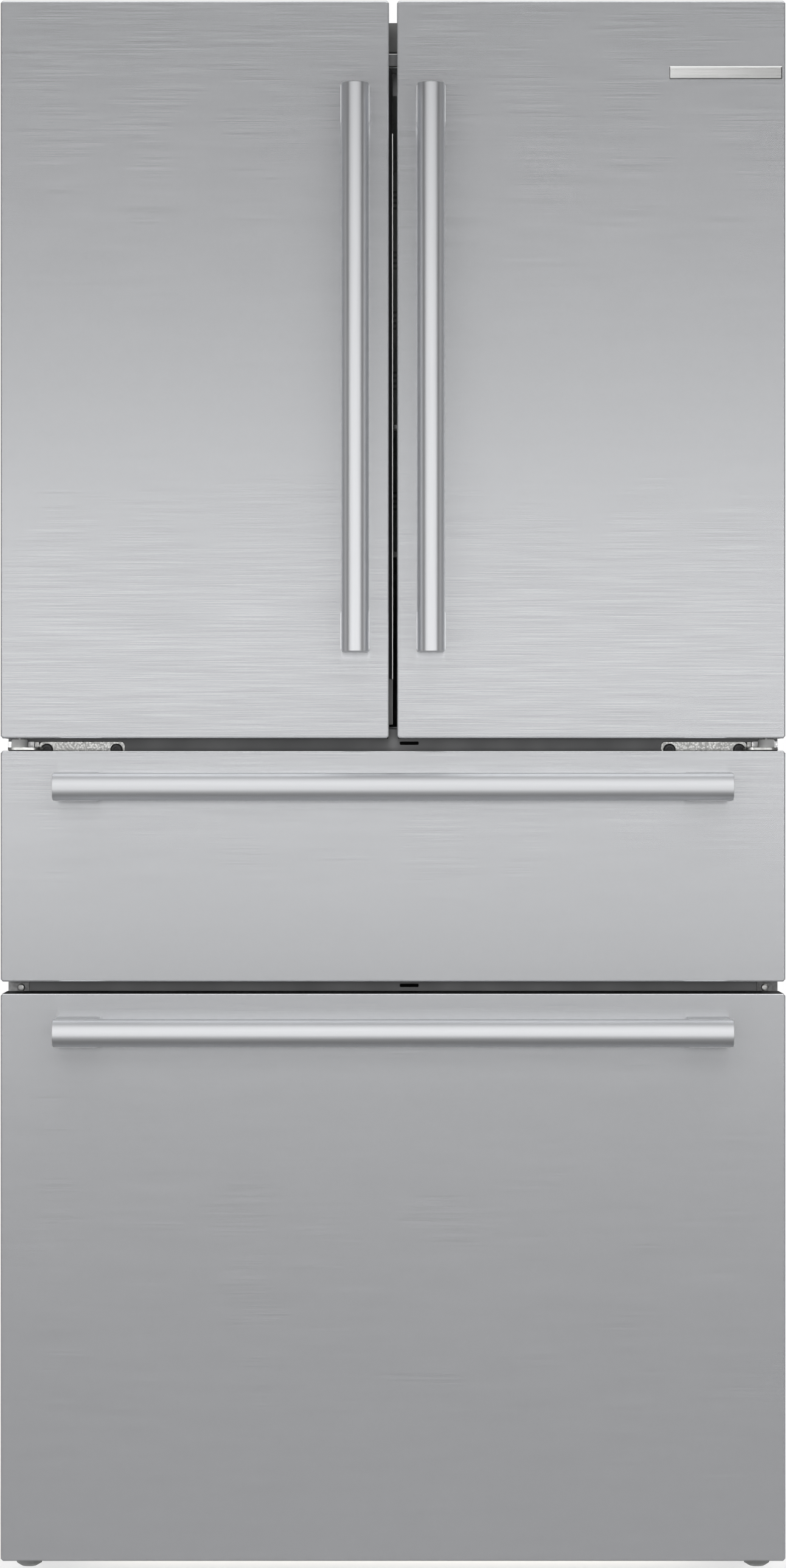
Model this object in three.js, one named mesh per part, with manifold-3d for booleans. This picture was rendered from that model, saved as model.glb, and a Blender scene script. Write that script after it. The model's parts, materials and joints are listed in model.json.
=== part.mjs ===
// French door refrigerator: two swing doors over a wide drawer and a freezer drawer.
// Millimetres. +X right, +Y to the back, +Z up. The origin is on the floor, at the
// centre of the whole object's footprint.
import * as THREE from 'three';
import { mergeVertices } from 'three/addons/utils/BufferGeometryUtils.js';
import Module from 'manifold-3d';

const wasm = await Module();
wasm.setup();

// ---------------------------------------------------------------- driving dimensions
const GAP = 0.3; // clearance between touching pieces
const OVER = 1; // how far a cutter passes a surface, or joined pieces enter each other
const SEGMENTS = 24; // sides of a full round
const SMALL_SEGMENTS = 16; // sides of pins and holes
const SIDES = [['left', -1], ['right', 1]];

// Overall
const HALF_WIDTH = 452.45; // doors and drawer fronts
const BACK = 395;
const FRONT = -332; // face of the doors
const PANEL_BACK = -257; // back of every door and drawer front
const CASE_FRONT = -242;
const CASE_HALF = 451;
const CASE_TOP = 1776;
const CASE_BOTTOM = 45;

// Door and drawer fronts
const CENTRE_GAP = 9.4; // between the two doors
const DOOR_BOTTOM = 973.1;
const DOOR_TOP = 1823.3;
const UPPER_BOTTOM = 692.7;
const UPPER_TOP = 958.7;
const FREEZER_BOTTOM = 24.9;
const FREEZER_TOP = 679;
const SKIN = 1.2; // stainless sheet
const SKIN_CHAMFER = 3;
const SKIN_RETURN = -259; // how far back the side returns of the skin reach

// Case
const SHEET = 1; // painted outer sheet
const FRAME_THICK = 2;
const CAVITY_HALF = 405;
const CAVITY_BACK = 340;
const LINER = 2;
const MOUTH_BACK = -200; // the tall mouth of the fresh food space ends here
const MOUTH_TOP = 1762;
const FRESH = { bottom: 985, top: 1735 };
const MIDDLE = { bottom: 710, top: 925 };
const FREEZER = { bottom: 90, top: 660, stepTop: 270, stepBack: 140 };
const MACHINE = { front: 185, top: 225, coverTop: 226, rearPanelBottom: 227 };
const VENT = { rows: 4, columns: 3, width: 210, height: 9, pitchX: 260, pitchZ: 26, first: 84 };

// Door hinges
const PIN_X = 433.5;
const PIN_Y = -294;
const PIN_RADIUS = 4.5;
const PIN_CLEARANCE = 0.7;
const PIN_DEPTH = 17; // how far the pin enters the door
const COLLAR = { radius: 10, gap: 0.5 };
const ARM = { bottom: 959.7, top: 963, inner: 409, outer: 447, front: -306 };
const HINGE_PLATE = { inner: 314, outer: 448, bottom: 941, top: 970.5, thick: 3.7 };
const HINGE_BOLT = { xs: [324, 402], z: 961, radius: 6, head: 3.4 };
const TOP_ARM = { bottom: 1799, top: 1805, half: 12.5, front: -302, riser: -200 };
const TOP_RECESS = { inner: 396, front: -326, floor: 1794 };
const TOP_BRACKET = { inner: 384, outer: 446, front: -234, back: -165, thick: 5 };

// Handles
const BAR_RADIUS = 15.75;
const BAR_Y = -379.2;
const POST_HALF = 16.6;
const POST_ROUND = 4;
const DOOR_HANDLE = { x: 43.5, bottom: 1071.7, top: 1721.4, post: 47 };
const DRAWER_HANDLE = { half: 389, post: 52, upperZ: 917.4, freezerZ: 635.9 };

// Gaskets
const GASKET_WIDTH = 15;
const GASKET_OUTER = 426;
const DOOR_GASKET = { inner: 5.7, heights: [974.5, 1775], bottomWidth: 10, topWidth: 13 };
const DRAWER_GASKET = { width: 14, upper: [695.7, 940], freezer: [75, 676] };

// Door liners and bins
const DIKE = { inner: 62, outer: 398, bottom: 1005, top: 1725, back: -205, wall: 25 };
const BIN_WALL = 3;
const BIN_GAP = 0.7;
const BIN_BACK = -140;
const BINS = { lower: [1232, 1350], upper: [1480, 1580] };

// Centre post that folds on the left door
const MULLION = { left: -46, hingeY: -236.8, width: 45, thick: 10, bottom: 990, top: 1757.5 };

// Fresh food interior
const SHELF = { front: -110, back: 310, thick: 8, half: 399, middle: 4 };
const SHELF_ARM = { front: 60, drop: 42, hook: 12, thick: 3, inset: 4 };
const SHELF_Z = { crisperCover: 1192, full: 1345, left: 1560, right: 1480 };
const LEDGE = { inner: 394, height: 8 };
const CRISPER = { front: -120, back: 290, bottom: 988.3, top: 1178, inner: 5, outer: 396, wall: 3 };
const DUCT = { half: 62, front: 316, bottom: 1215, top: 1715 };

// Drawers and slides
const BOX = { half: 370, wall: 3, front: -256.5 };
const UPPER_BOX = { bottom: 722, top: 905, back: 240 };
const FREEZER_BOX = { bottom: 105, top: 545, back: 125, rim: 384, rimFront: -248.5 };
const TRAY = { half: 360, base: 384, bottom: 545.6, top: 625, front: -236, back: 110, wall: 3 };
const RAIL = { web: 402.4, lip: 393, wall: 2, height: 44, front: -234, back: 290 };
const MIDDLE_RAIL = { web: 399.8, lip: 387, wall: 2, height: 38, front: -236, back: 266 };
const RUNNER = { outer: 396.5, height: 32, front: -238, back: 240 };
const UPPER_RAIL_Z = 812;
const FREEZER_RAIL_Z = 492;

// Base, feet and rollers
const BASE = { half: 440, front: -236, back: 391, bottom: 41, top: 44.6, flange: 3, drop: 24 };
const BASE_WINDOW = { half: 360, front: -196, back: 165 };
const CHANNEL = { inner: 408, outer: 440 };
const SIDE_PLATE = { thick: 2.5 };
const FOOT = { x: 428.8, y: -213, radius: 15.3, height: 14, bevel: 3, stem: 5, top: 44.4, hole: 5.5 };
const ROLLER = {
  x: 424, y: 340, radius: 19, half: 9, axle: 4, axleHalf: 18, tab: 15, tabBottom: 9, hole: 4.4,
};

// Machine compartment
const COMPRESSOR = { x: -235, y: 290, radius: 72, bottom: 46, height: 156 };
const FAN = {
  x: 62, y: 290, z: 128, hub: 19, reach: 66, half: 12, blades: 6,
  vane: { thick: 2, chord: 32, root: 12, pitch: 0.62 },
};
const MOTOR = { radius: 21, length: 24, plate: 4, half: 36 };

// Top cover
const COVER = { inner: 370, outer: 450, front: -238, back: -150, top: 1816, wall: 2.5, armGap: 1 };
const COVER_BAR = { front: -222, back: -208, bottom: 1781.7 };

// Name plate
const PLATE = { left: 318.7, right: 448.6, bottom: 1732.7, top: 1747.6, thick: 1.6 };

// ---------------------------------------------------------------- finishes
const FINISH = {
  stainless: { color: 0xc4c6ca, roughness: 0.34, metalness: 1 },
  bar: { color: 0xd2d4d8, roughness: 0.26, metalness: 1 },
  zinc: { color: 0xbfc1bd, roughness: 0.45, metalness: 1 },
  slide: { color: 0xb4b8bc, roughness: 0.35, metalness: 1 },
  painted: { color: 0x4c4e51, roughness: 0.55, metalness: 0.2 },
  dark: { color: 0x3c3e40, roughness: 0.6, metalness: 0 },
  black: { color: 0x17181a, roughness: 0.5, metalness: 0.1 },
  liner: { color: 0xf0f1f1, roughness: 0.45, metalness: 0 },
  foam: { color: 0xd8cfa6, roughness: 0.9, metalness: 0 },
  gasket: { color: 0x6c6e70, roughness: 0.75, metalness: 0 },
  clear: { color: 0xdbe6ea, roughness: 0.1, metalness: 0 },
  glass: { color: 0xcfe0dc, roughness: 0.05, metalness: 0 },
  rubber: { color: 0x222324, roughness: 0.85, metalness: 0 },
  foot: { color: 0x9a9c9c, roughness: 0.6, metalness: 0 },
};

const fridge = new THREE.Group();

function place(name, geometry, finish) {
  const mesh = new THREE.Mesh(geometry, new THREE.MeshStandardMaterial(FINISH[finish]));
  mesh.name = name;
  fridge.add(mesh);
  return mesh;
}

// ---------------------------------------------------------------- solid helpers
function solid(geometry) {
  const bare = geometry.index ? geometry.clone() : geometry;
  bare.deleteAttribute('normal');
  bare.deleteAttribute('uv');
  const merged = mergeVertices(bare, 1e-4);
  const mesh = new wasm.Mesh({
    numProp: 3,
    vertProperties: new Float32Array(merged.attributes.position.array),
    triVerts: new Uint32Array(merged.index.array),
  });
  return new wasm.Manifold(mesh);
}

function geometryOf(manifold) {
  const mesh = manifold.getMesh();
  const geometry = new THREE.BufferGeometry();
  geometry.setAttribute('position', new THREE.BufferAttribute(mesh.vertProperties, 3));
  geometry.setIndex(new THREE.BufferAttribute(mesh.triVerts, 1));
  geometry.computeVertexNormals();
  return geometry;
}

function join(geometries) {
  return geometryOf(geometries.map(solid).reduce((sum, next) => sum.add(next)));
}

function cut(geometry, tools) {
  return geometryOf(tools.map(solid).reduce((rest, tool) => rest.subtract(tool), solid(geometry)));
}

// A box between two values on each axis, in either order.
function block(x0, x1, y0, y1, z0, z1) {
  const geometry = new THREE.BoxGeometry(Math.abs(x1 - x0), Math.abs(y1 - y0), Math.abs(z1 - z0));
  return geometry.translate((x0 + x1) / 2, (y0 + y1) / 2, (z0 + z1) / 2);
}

// A round bar along X, Y or Z between two values on that axis.
function rod(axis, radius, from, to, centre, segments = SMALL_SEGMENTS) {
  const geometry = new THREE.CylinderGeometry(radius, radius, Math.abs(to - from), segments);
  if (axis === 'x') geometry.rotateZ(Math.PI / 2);
  if (axis === 'z') geometry.rotateX(Math.PI / 2);
  const middle = (from + to) / 2;
  if (axis === 'x') return geometry.translate(middle, centre[0], centre[1]);
  if (axis === 'y') return geometry.translate(centre[0], middle, centre[1]);
  return geometry.translate(centre[0], centre[1], middle);
}

function outline(points) {
  return new THREE.Shape(points.map(([x, y]) => new THREE.Vector2(x, y)));
}

// An outline in X and Y, raised from z0 to z1.
function raised(points, z0, z1) {
  const depth = z1 - z0;
  return new THREE.ExtrudeGeometry(outline(points), { depth, bevelEnabled: false }).translate(0, 0, z0);
}

// An outline in X and Z, drawn out from y0 to y1.
function drawnBack(shape, y0, y1) {
  const geometry = new THREE.ExtrudeGeometry(shape, { depth: y1 - y0, bevelEnabled: false });
  return geometry.rotateX(Math.PI / 2).translate(0, y1, 0);
}

function rectangle(x0, x1, z0, z1) {
  return outline([[x0, z0], [x1, z0], [x1, z1], [x0, z1]]);
}

// An open-topped box with even walls.
function tub(x0, x1, y0, y1, z0, z1, wall) {
  const left = Math.min(x0, x1);
  const right = Math.max(x0, x1);
  const inside = block(left + wall, right - wall, y0 + wall, y1 - wall, z0 + wall, z1 + OVER);
  return cut(block(left, right, y0, y1, z0, z1), [inside]);
}

// ---------------------------------------------------------------- case
const FOAM_FRONT = CASE_FRONT + FRAME_THICK + GAP;
const SHEET_BACK = BACK - SHEET - GAP;
const FOAM_HALF = CASE_HALF - SHEET - GAP;
const FOAM_TOP = CASE_TOP - SHEET - GAP;

function foamBody() {
  const mouthFront = FOAM_FRONT - OVER;
  const body = block(-FOAM_HALF, FOAM_HALF, FOAM_FRONT, SHEET_BACK, CASE_BOTTOM, FOAM_TOP);
  const cavity = (back, z0, z1) => block(-CAVITY_HALF, CAVITY_HALF, mouthFront, back, z0, z1);
  return cut(body, [
    cavity(CAVITY_BACK, FRESH.bottom, FRESH.top),
    cavity(MOUTH_BACK, FRESH.bottom, MOUTH_TOP),
    cavity(CAVITY_BACK, MIDDLE.bottom, MIDDLE.top),
    cavity(CAVITY_BACK, FREEZER.stepTop, FREEZER.top),
    cavity(FREEZER.stepBack, FREEZER.bottom, FREEZER.top),
    block(-CASE_HALF, CASE_HALF, MACHINE.front, BACK, CASE_BOTTOM - OVER, MACHINE.top),
  ]);
}

function outerWrapper() {
  const inner = CASE_HALF - SHEET;
  const shape = outline([
    [-CASE_HALF, CASE_BOTTOM], [-inner, CASE_BOTTOM], [-inner, CASE_TOP - SHEET],
    [inner, CASE_TOP - SHEET], [inner, CASE_BOTTOM], [CASE_HALF, CASE_BOTTOM],
    [CASE_HALF, CASE_TOP], [-CASE_HALF, CASE_TOP],
  ]);
  return drawnBack(shape, FOAM_FRONT, SHEET_BACK);
}

function frontFrame() {
  const shape = rectangle(-CASE_HALF, CASE_HALF, CASE_BOTTOM, CASE_TOP);
  const openings = [[FRESH.bottom, MOUTH_TOP], [MIDDLE.bottom, MIDDLE.top], [FREEZER.bottom, FREEZER.top]];
  for (const [z0, z1] of openings) {
    shape.holes.push(rectangle(-CAVITY_HALF, CAVITY_HALF, z0, z1));
  }
  return drawnBack(shape, CASE_FRONT, CASE_FRONT + FRAME_THICK);
}

function rearPanel() {
  return block(-FOAM_HALF, FOAM_HALF, BACK - SHEET, BACK, MACHINE.rearPanelBottom, FOAM_TOP);
}

function machineCover() {
  const sheet = block(-FOAM_HALF, FOAM_HALF, BACK - SHEET, BACK, CASE_BOTTOM + GAP, MACHINE.coverTop);
  const front = BACK - SHEET - OVER;
  const half = VENT.width / 2;
  const cuts = [];
  for (let row = 0; row < VENT.rows; row += 1) {
    for (let column = 0; column < VENT.columns; column += 1) {
      const x = (column - (VENT.columns - 1) / 2) * VENT.pitchX;
      const z = VENT.first + row * VENT.pitchZ;
      cuts.push(block(x - half, x + half, front, BACK + OVER, z, z + VENT.height));
    }
  }
  return cut(sheet, cuts);
}

// A thin open-fronted shell that fits the union of the given cavities.
function linerShell(cavities) {
  const shell = (inset, front) => join(cavities.map(({ back, z0, z1 }) => block(
    -CAVITY_HALF + inset, CAVITY_HALF - inset, front, back - inset, z0 + inset, z1 - inset,
  )));
  return cut(shell(GAP, FOAM_FRONT), [shell(GAP + LINER, FOAM_FRONT - OVER)]);
}

function freshLiner() {
  const shell = linerShell([
    { back: CAVITY_BACK, z0: FRESH.bottom, z1: FRESH.top },
    { back: MOUTH_BACK, z0: FRESH.bottom, z1: MOUTH_TOP },
  ]);
  const wall = CAVITY_HALF - GAP - LINER / 2;
  const top = SHELF_Z.crisperCover - GAP;
  const ledges = [-1, 1].map((side) => block(
    side * LEDGE.inner, side * wall, SHELF.front, SHELF.back, top - LEDGE.height, top,
  ));
  return join([shell, ...ledges]);
}

place('cabinet_foam', foamBody(), 'foam');
place('outer_wrapper', outerWrapper(), 'painted');
place('front_frame', frontFrame(), 'painted');
place('rear_panel', rearPanel(), 'zinc');
place('machine_cover', machineCover(), 'black');
place('fresh_food_liner', freshLiner(), 'liner');
place('middle_liner', linerShell([{ back: CAVITY_BACK, z0: MIDDLE.bottom, z1: MIDDLE.top }]), 'liner');
place('freezer_liner', linerShell([
  { back: CAVITY_BACK, z0: FREEZER.stepTop, z1: FREEZER.top },
  { back: FREEZER.stepBack, z0: FREEZER.bottom, z1: FREEZER.top },
]), 'liner');

// ---------------------------------------------------------------- base, feet and rollers
function baseFrame() {
  const plate = block(-BASE.half, BASE.half, BASE.front, BASE.back, BASE.bottom, BASE.top);
  const { half, front, back } = BASE_WINDOW;
  const window = block(-half, half, front, back, BASE.bottom - OVER, BASE.top + OVER);
  const parts = [cut(plate, [window]), ...fanMotor()];
  const holes = [];
  for (const [, side] of SIDES) {
    parts.push(...sideChannel(side), ...machineSide(side));
    holes.push(rod('z', FOOT.hole, BASE.drop, BASE.top + OVER, [side * FOOT.x, FOOT.y]));
    const axle = [ROLLER.y, ROLLER.radius];
    holes.push(rod('x', ROLLER.hole, side * (CHANNEL.inner - OVER), side * (CHANNEL.outer + OVER), axle));
  }
  return cut(join(parts), holes);
}

// Two flanges down each side, with tabs that hold the roller's axle.
function sideChannel(side) {
  return [CHANNEL.inner, CHANNEL.outer - BASE.flange].flatMap((x) => {
    const from = side * x;
    const to = side * (x + BASE.flange);
    return [
      block(from, to, BASE.front, BASE.back, BASE.drop, BASE.bottom + OVER),
      block(from, to, ROLLER.y - ROLLER.tab, ROLLER.y + ROLLER.tab, ROLLER.tabBottom, BASE.drop + OVER),
    ];
  });
}

// A folded side plate closes the machine compartment behind the outer sheet.
function machineSide(side) {
  const inner = side * (FOAM_HALF - SIDE_PLATE.thick);
  const outer = side * (FOAM_HALF - GAP);
  const front = MACHINE.front + OVER;
  return [
    block(inner, outer, front, BASE.back, BASE.bottom, MACHINE.top - OVER),
    block(side * (BASE.half - OVER), outer, front, BASE.back, BASE.bottom, BASE.top),
  ];
}

// The fan's motor on its upright plate.
function fanMotor() {
  const { radius, length, plate, half } = MOTOR;
  const plateX = FAN.x + FAN.half + GAP + length;
  return [
    block(plateX, plateX + plate, FAN.y - half, FAN.y + half, BASE.bottom + OVER, FAN.z + half),
    rod('x', radius, plateX - length, plateX + OVER, [FAN.y, FAN.z], SEGMENTS),
  ];
}

function foot(side) {
  const { radius: reach, bevel, height } = FOOT;
  const profile = [[0, 0], [reach - bevel, 0], [reach, bevel], [reach, height], [0, height]];
  const points = profile.map(([radius, z]) => new THREE.Vector2(radius, z));
  const hexagon = new THREE.LatheGeometry(points, 6).rotateX(Math.PI / 2).rotateZ(Math.PI / 6);
  const stem = rod('z', FOOT.stem, FOOT.height - OVER, FOOT.top, [0, 0]);
  return join([hexagon, stem]).translate(side * FOOT.x, FOOT.y, 0);
}

function roller(side) {
  const centre = [ROLLER.y, ROLLER.radius];
  const x = side * ROLLER.x;
  return join([
    rod('x', ROLLER.radius, x - ROLLER.half, x + ROLLER.half, centre, SEGMENTS),
    rod('x', ROLLER.axle, x - ROLLER.axleHalf, x + ROLLER.axleHalf, centre),
  ]);
}

place('base_frame', baseFrame(), 'zinc');
for (const [name, side] of SIDES) {
  place(`front_foot_${name}`, foot(side), 'foot');
  place(`rear_roller_${name}`, roller(side), 'rubber');
}

// ---------------------------------------------------------------- machine compartment
function compressor() {
  const { radius, height } = COMPRESSOR;
  const profile = new THREE.Shape();
  profile.moveTo(0, 0);
  profile.lineTo(radius * 0.8, 0);
  profile.quadraticCurveTo(radius, 0, radius, radius * 0.35);
  profile.lineTo(radius, height * 0.6);
  profile.quadraticCurveTo(radius, height, 0, height);
  const points = profile.getPoints(5);
  const shell = new THREE.LatheGeometry(points, SEGMENTS).rotateX(Math.PI / 2);
  return shell.translate(COMPRESSOR.x, COMPRESSOR.y, COMPRESSOR.bottom);
}

function fan() {
  const parts = [rod('x', FAN.hub, -FAN.half, FAN.half, [0, 0], SEGMENTS)];
  for (let blade = 0; blade < FAN.blades; blade += 1) {
    const vane = new THREE.BoxGeometry(FAN.vane.thick, FAN.vane.chord, FAN.reach - FAN.vane.root);
    vane.rotateZ(FAN.vane.pitch).translate(0, 0, (FAN.reach + FAN.vane.root) / 2);
    parts.push(vane.rotateX((blade * 2 * Math.PI) / FAN.blades));
  }
  return join(parts).translate(FAN.x, FAN.y, FAN.z);
}

place('compressor', compressor(), 'black');
place('condenser_fan', fan(), 'dark');

// ---------------------------------------------------------------- hinges and top cover
function middleHinge(side) {
  const plateFront = CASE_FRONT - GAP - HINGE_PLATE.thick;
  const plateBack = CASE_FRONT - GAP;
  const centre = [side * PIN_X, PIN_Y];
  const bolts = HINGE_BOLT.xs.map((x) => rod(
    'y', HINGE_BOLT.radius, plateFront - HINGE_BOLT.head, plateFront + OVER, [side * x, HINGE_BOLT.z],
  ));
  return join([
    block(
      side * HINGE_PLATE.inner, side * HINGE_PLATE.outer, plateFront, plateBack,
      HINGE_PLATE.bottom, HINGE_PLATE.top,
    ),
    block(side * ARM.inner, side * ARM.outer, ARM.front, plateFront + OVER, ARM.bottom, ARM.top),
    rod('z', COLLAR.radius, ARM.top - OVER, DOOR_BOTTOM - COLLAR.gap, centre, SEGMENTS),
    rod('z', PIN_RADIUS, ARM.top - OVER, DOOR_BOTTOM + PIN_DEPTH, centre),
    ...bolts,
  ]);
}

function topHinge(side) {
  const base = CASE_TOP + GAP;
  const centre = [side * PIN_X, PIN_Y];
  const armInner = PIN_X - TOP_ARM.half;
  const armOuter = PIN_X + TOP_ARM.half;
  return join([
    block(
      side * TOP_BRACKET.inner, side * TOP_BRACKET.outer, TOP_BRACKET.front, TOP_BRACKET.back,
      base, base + TOP_BRACKET.thick,
    ),
    block(side * armInner, side * armOuter, TOP_ARM.riser, TOP_BRACKET.back, base + OVER, TOP_ARM.top),
    block(
      side * armInner, side * armOuter, TOP_ARM.front, TOP_ARM.riser + OVER, TOP_ARM.bottom, TOP_ARM.top,
    ),
    rod('z', PIN_RADIUS, TOP_RECESS.floor - PIN_DEPTH, TOP_ARM.bottom + OVER, centre),
  ]);
}

function topCover() {
  const { inner, outer, front, back, top, wall } = COVER;
  const base = CASE_TOP + GAP;
  const reach = inner + OVER;
  const parts = [block(-reach, reach, COVER_BAR.front, COVER_BAR.back, COVER_BAR.bottom, top)];
  const hollows = [];
  const slotHalf = TOP_ARM.half + COVER.armGap;
  for (const [, side] of SIDES) {
    parts.push(block(side * inner, side * outer, front, back, base, top));
    hollows.push(block(
      side * (inner + wall), side * (outer - wall), front + wall, back - wall, base - OVER, top - wall,
    ));
    hollows.push(block(
      side * (PIN_X - slotHalf), side * (PIN_X + slotHalf),
      front - OVER, front + wall + OVER, TOP_ARM.bottom - COVER.armGap, TOP_ARM.top + COVER.armGap,
    ));
  }
  return cut(join(parts), hollows);
}

for (const [name, side] of SIDES) {
  place(`middle_hinge_${name}`, middleHinge(side), 'zinc');
  place(`top_hinge_${name}`, topHinge(side), 'zinc');
}
place('top_cover', topCover(), 'dark');

// ---------------------------------------------------------------- door and drawer fronts
// Folded sheet: a flat face with a return down each side, open at the top and bottom.
function panelSkin(x0, x1, z0, z1) {
  const c = SKIN_CHAMFER;
  const t = SKIN;
  return raised([
    [x0, SKIN_RETURN], [x0, FRONT + c], [x0 + c, FRONT], [x1 - c, FRONT], [x1, FRONT + c],
    [x1, SKIN_RETURN], [x1 - t, SKIN_RETURN], [x1 - t, FRONT + c + t / 2],
    [x1 - c - t / 2, FRONT + t], [x0 + c + t / 2, FRONT + t], [x0 + t, FRONT + c + t / 2],
    [x0 + t, SKIN_RETURN],
  ], z0, z1);
}

// The insulated block behind the skin.
function panelCore(x0, x1, z0, z1) {
  const inset = SKIN + GAP;
  const c = SKIN_CHAMFER;
  const front = FRONT + inset;
  return raised([
    [x0 + inset, PANEL_BACK], [x0 + inset, front + c], [x0 + inset + c, front],
    [x1 - inset - c, front], [x1 - inset, front + c], [x1 - inset, PANEL_BACK],
  ], z0, z1);
}

// A rectangular seal around the back of a door or drawer front.
function gasket([x0, x1], [z0, z1], side, bottom, top) {
  const shape = rectangle(x0, x1, z0, z1);
  shape.holes.push(rectangle(x0 + side, x1 - side, z0 + bottom, z1 - top));
  return drawnBack(shape, PANEL_BACK + GAP, CASE_FRONT - GAP);
}

// A rounded post between the handle bar and the door face.
function post(x0, x1, z0, z1) {
  const r = POST_ROUND;
  const shape = outline([
    [x0 + r, z0], [x1 - r, z0], [x1, z0 + r], [x1, z1 - r],
    [x1 - r, z1], [x0 + r, z1], [x0, z1 - r], [x0, z0 + r],
  ]);
  return drawnBack(shape, BAR_Y, FRONT - GAP);
}

function uprightHandle(side) {
  const x = side * DOOR_HANDLE.x;
  const { bottom, top, post: length } = DOOR_HANDLE;
  return join([
    rod('z', BAR_RADIUS, bottom, top, [x, BAR_Y], SEGMENTS),
    post(x - POST_HALF, x + POST_HALF, bottom, bottom + length),
    post(x - POST_HALF, x + POST_HALF, top - length, top),
  ]);
}

function levelHandle(z) {
  const { half, post: length } = DRAWER_HANDLE;
  return join([
    rod('x', BAR_RADIUS, -half, half, [BAR_Y, z], SEGMENTS),
    post(-half, -half + length, z - POST_HALF, z + POST_HALF),
    post(half - length, half, z - POST_HALF, z + POST_HALF),
  ]);
}

// ---------------------------------------------------------------- swing doors
const DOOR_INNER = CENTRE_GAP / 2;

function doorRange(side) {
  return side > 0 ? [DOOR_INNER, HALF_WIDTH] : [-HALF_WIDTH, -DOOR_INNER];
}

function hingeRecess(side) {
  return block(
    side * TOP_RECESS.inner, side * (HALF_WIDTH + OVER), TOP_RECESS.front, PANEL_BACK + OVER,
    TOP_RECESS.floor, DOOR_TOP + OVER,
  );
}

function doorSkin(side) {
  const [x0, x1] = doorRange(side);
  return cut(panelSkin(x0, x1, DOOR_BOTTOM, DOOR_TOP), [hingeRecess(side)]);
}

function doorLiner(side) {
  const [x0, x1] = doorRange(side);
  const bore = PIN_RADIUS + PIN_CLEARANCE;
  const centre = [side * PIN_X, PIN_Y];
  const { inner, outer, bottom, top, back, wall } = DIKE;
  const dikeFront = PANEL_BACK - OVER;
  const dike = cut(
    block(side * inner, side * outer, dikeFront, back, bottom, top),
    [block(
      side * (inner + wall), side * (outer - wall), dikeFront - OVER, back + OVER, bottom + wall, top - wall,
    )],
  );
  return cut(join([panelCore(x0, x1, DOOR_BOTTOM, DOOR_TOP), dike]), [
    hingeRecess(side),
    rod('z', bore, DOOR_BOTTOM - OVER, DOOR_BOTTOM + PIN_DEPTH + OVER, centre),
    rod('z', bore, TOP_RECESS.floor - PIN_DEPTH - OVER, TOP_RECESS.floor + OVER, centre),
  ]);
}

function doorGasket(side) {
  const { inner, heights, bottomWidth, topWidth } = DOOR_GASKET;
  const across = side > 0 ? [inner, GASKET_OUTER] : [-GASKET_OUTER, -inner];
  return gasket(across, heights, GASKET_WIDTH, bottomWidth, topWidth);
}

function doorBin(side, [z0, z1]) {
  const inner = DIKE.inner + DIKE.wall + BIN_GAP;
  const outer = DIKE.outer - DIKE.wall - BIN_GAP;
  return tub(side * inner, side * outer, PANEL_BACK + GAP, BIN_BACK, z0, z1, BIN_WALL);
}

for (const [name, side] of SIDES) {
  place(`${name}_door_skin`, doorSkin(side), 'stainless');
  place(`${name}_door_liner`, doorLiner(side), 'liner');
  place(`${name}_door_gasket`, doorGasket(side), 'gasket');
  place(`${name}_door_handle`, uprightHandle(side), 'bar');
  place(`${name}_door_bin_lower`, doorBin(side, BINS.lower), 'clear');
  place(`${name}_door_bin_upper`, doorBin(side, BINS.upper), 'clear');
}

function mullion() {
  const { left, hingeY, width, thick, bottom, top } = MULLION;
  return block(left, left + width, hingeY - thick / 2, hingeY + thick / 2, bottom, top);
}

place('centre_mullion', mullion(), 'dark');
place('name_plate', block(
  PLATE.left, PLATE.right, FRONT - GAP - PLATE.thick, FRONT - GAP, PLATE.bottom, PLATE.top,
), 'bar');

// ---------------------------------------------------------------- fresh food interior
const REAR_WALL = CAVITY_BACK - GAP - LINER - GAP; // parts against the liner's back end here

function glassShelf(x0, x1, z, armXs) {
  const parts = [block(x0, x1, SHELF.front, SHELF.back, z, z + SHELF.thick)];
  const { front, drop, hook, thick } = SHELF_ARM;
  for (const x of armXs) {
    const shape = outline([
      [front, z + OVER], [REAR_WALL, z + OVER], [REAR_WALL, z - drop], [REAR_WALL - hook, z - drop],
    ]);
    const arm = new THREE.ExtrudeGeometry(shape, { depth: thick, bevelEnabled: false });
    // The outline is drawn in Y and Z, so it is turned to stand across X.
    arm.applyMatrix4(new THREE.Matrix4().set(0, 0, 1, x, 1, 0, 0, 0, 0, 1, 0, 0, 0, 0, 0, 1));
    parts.push(arm);
  }
  return join(parts);
}

function crisper(side) {
  const { inner, outer, front, back, bottom, top, wall } = CRISPER;
  return tub(side * inner, side * outer, front, back, bottom, top, wall);
}

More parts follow.
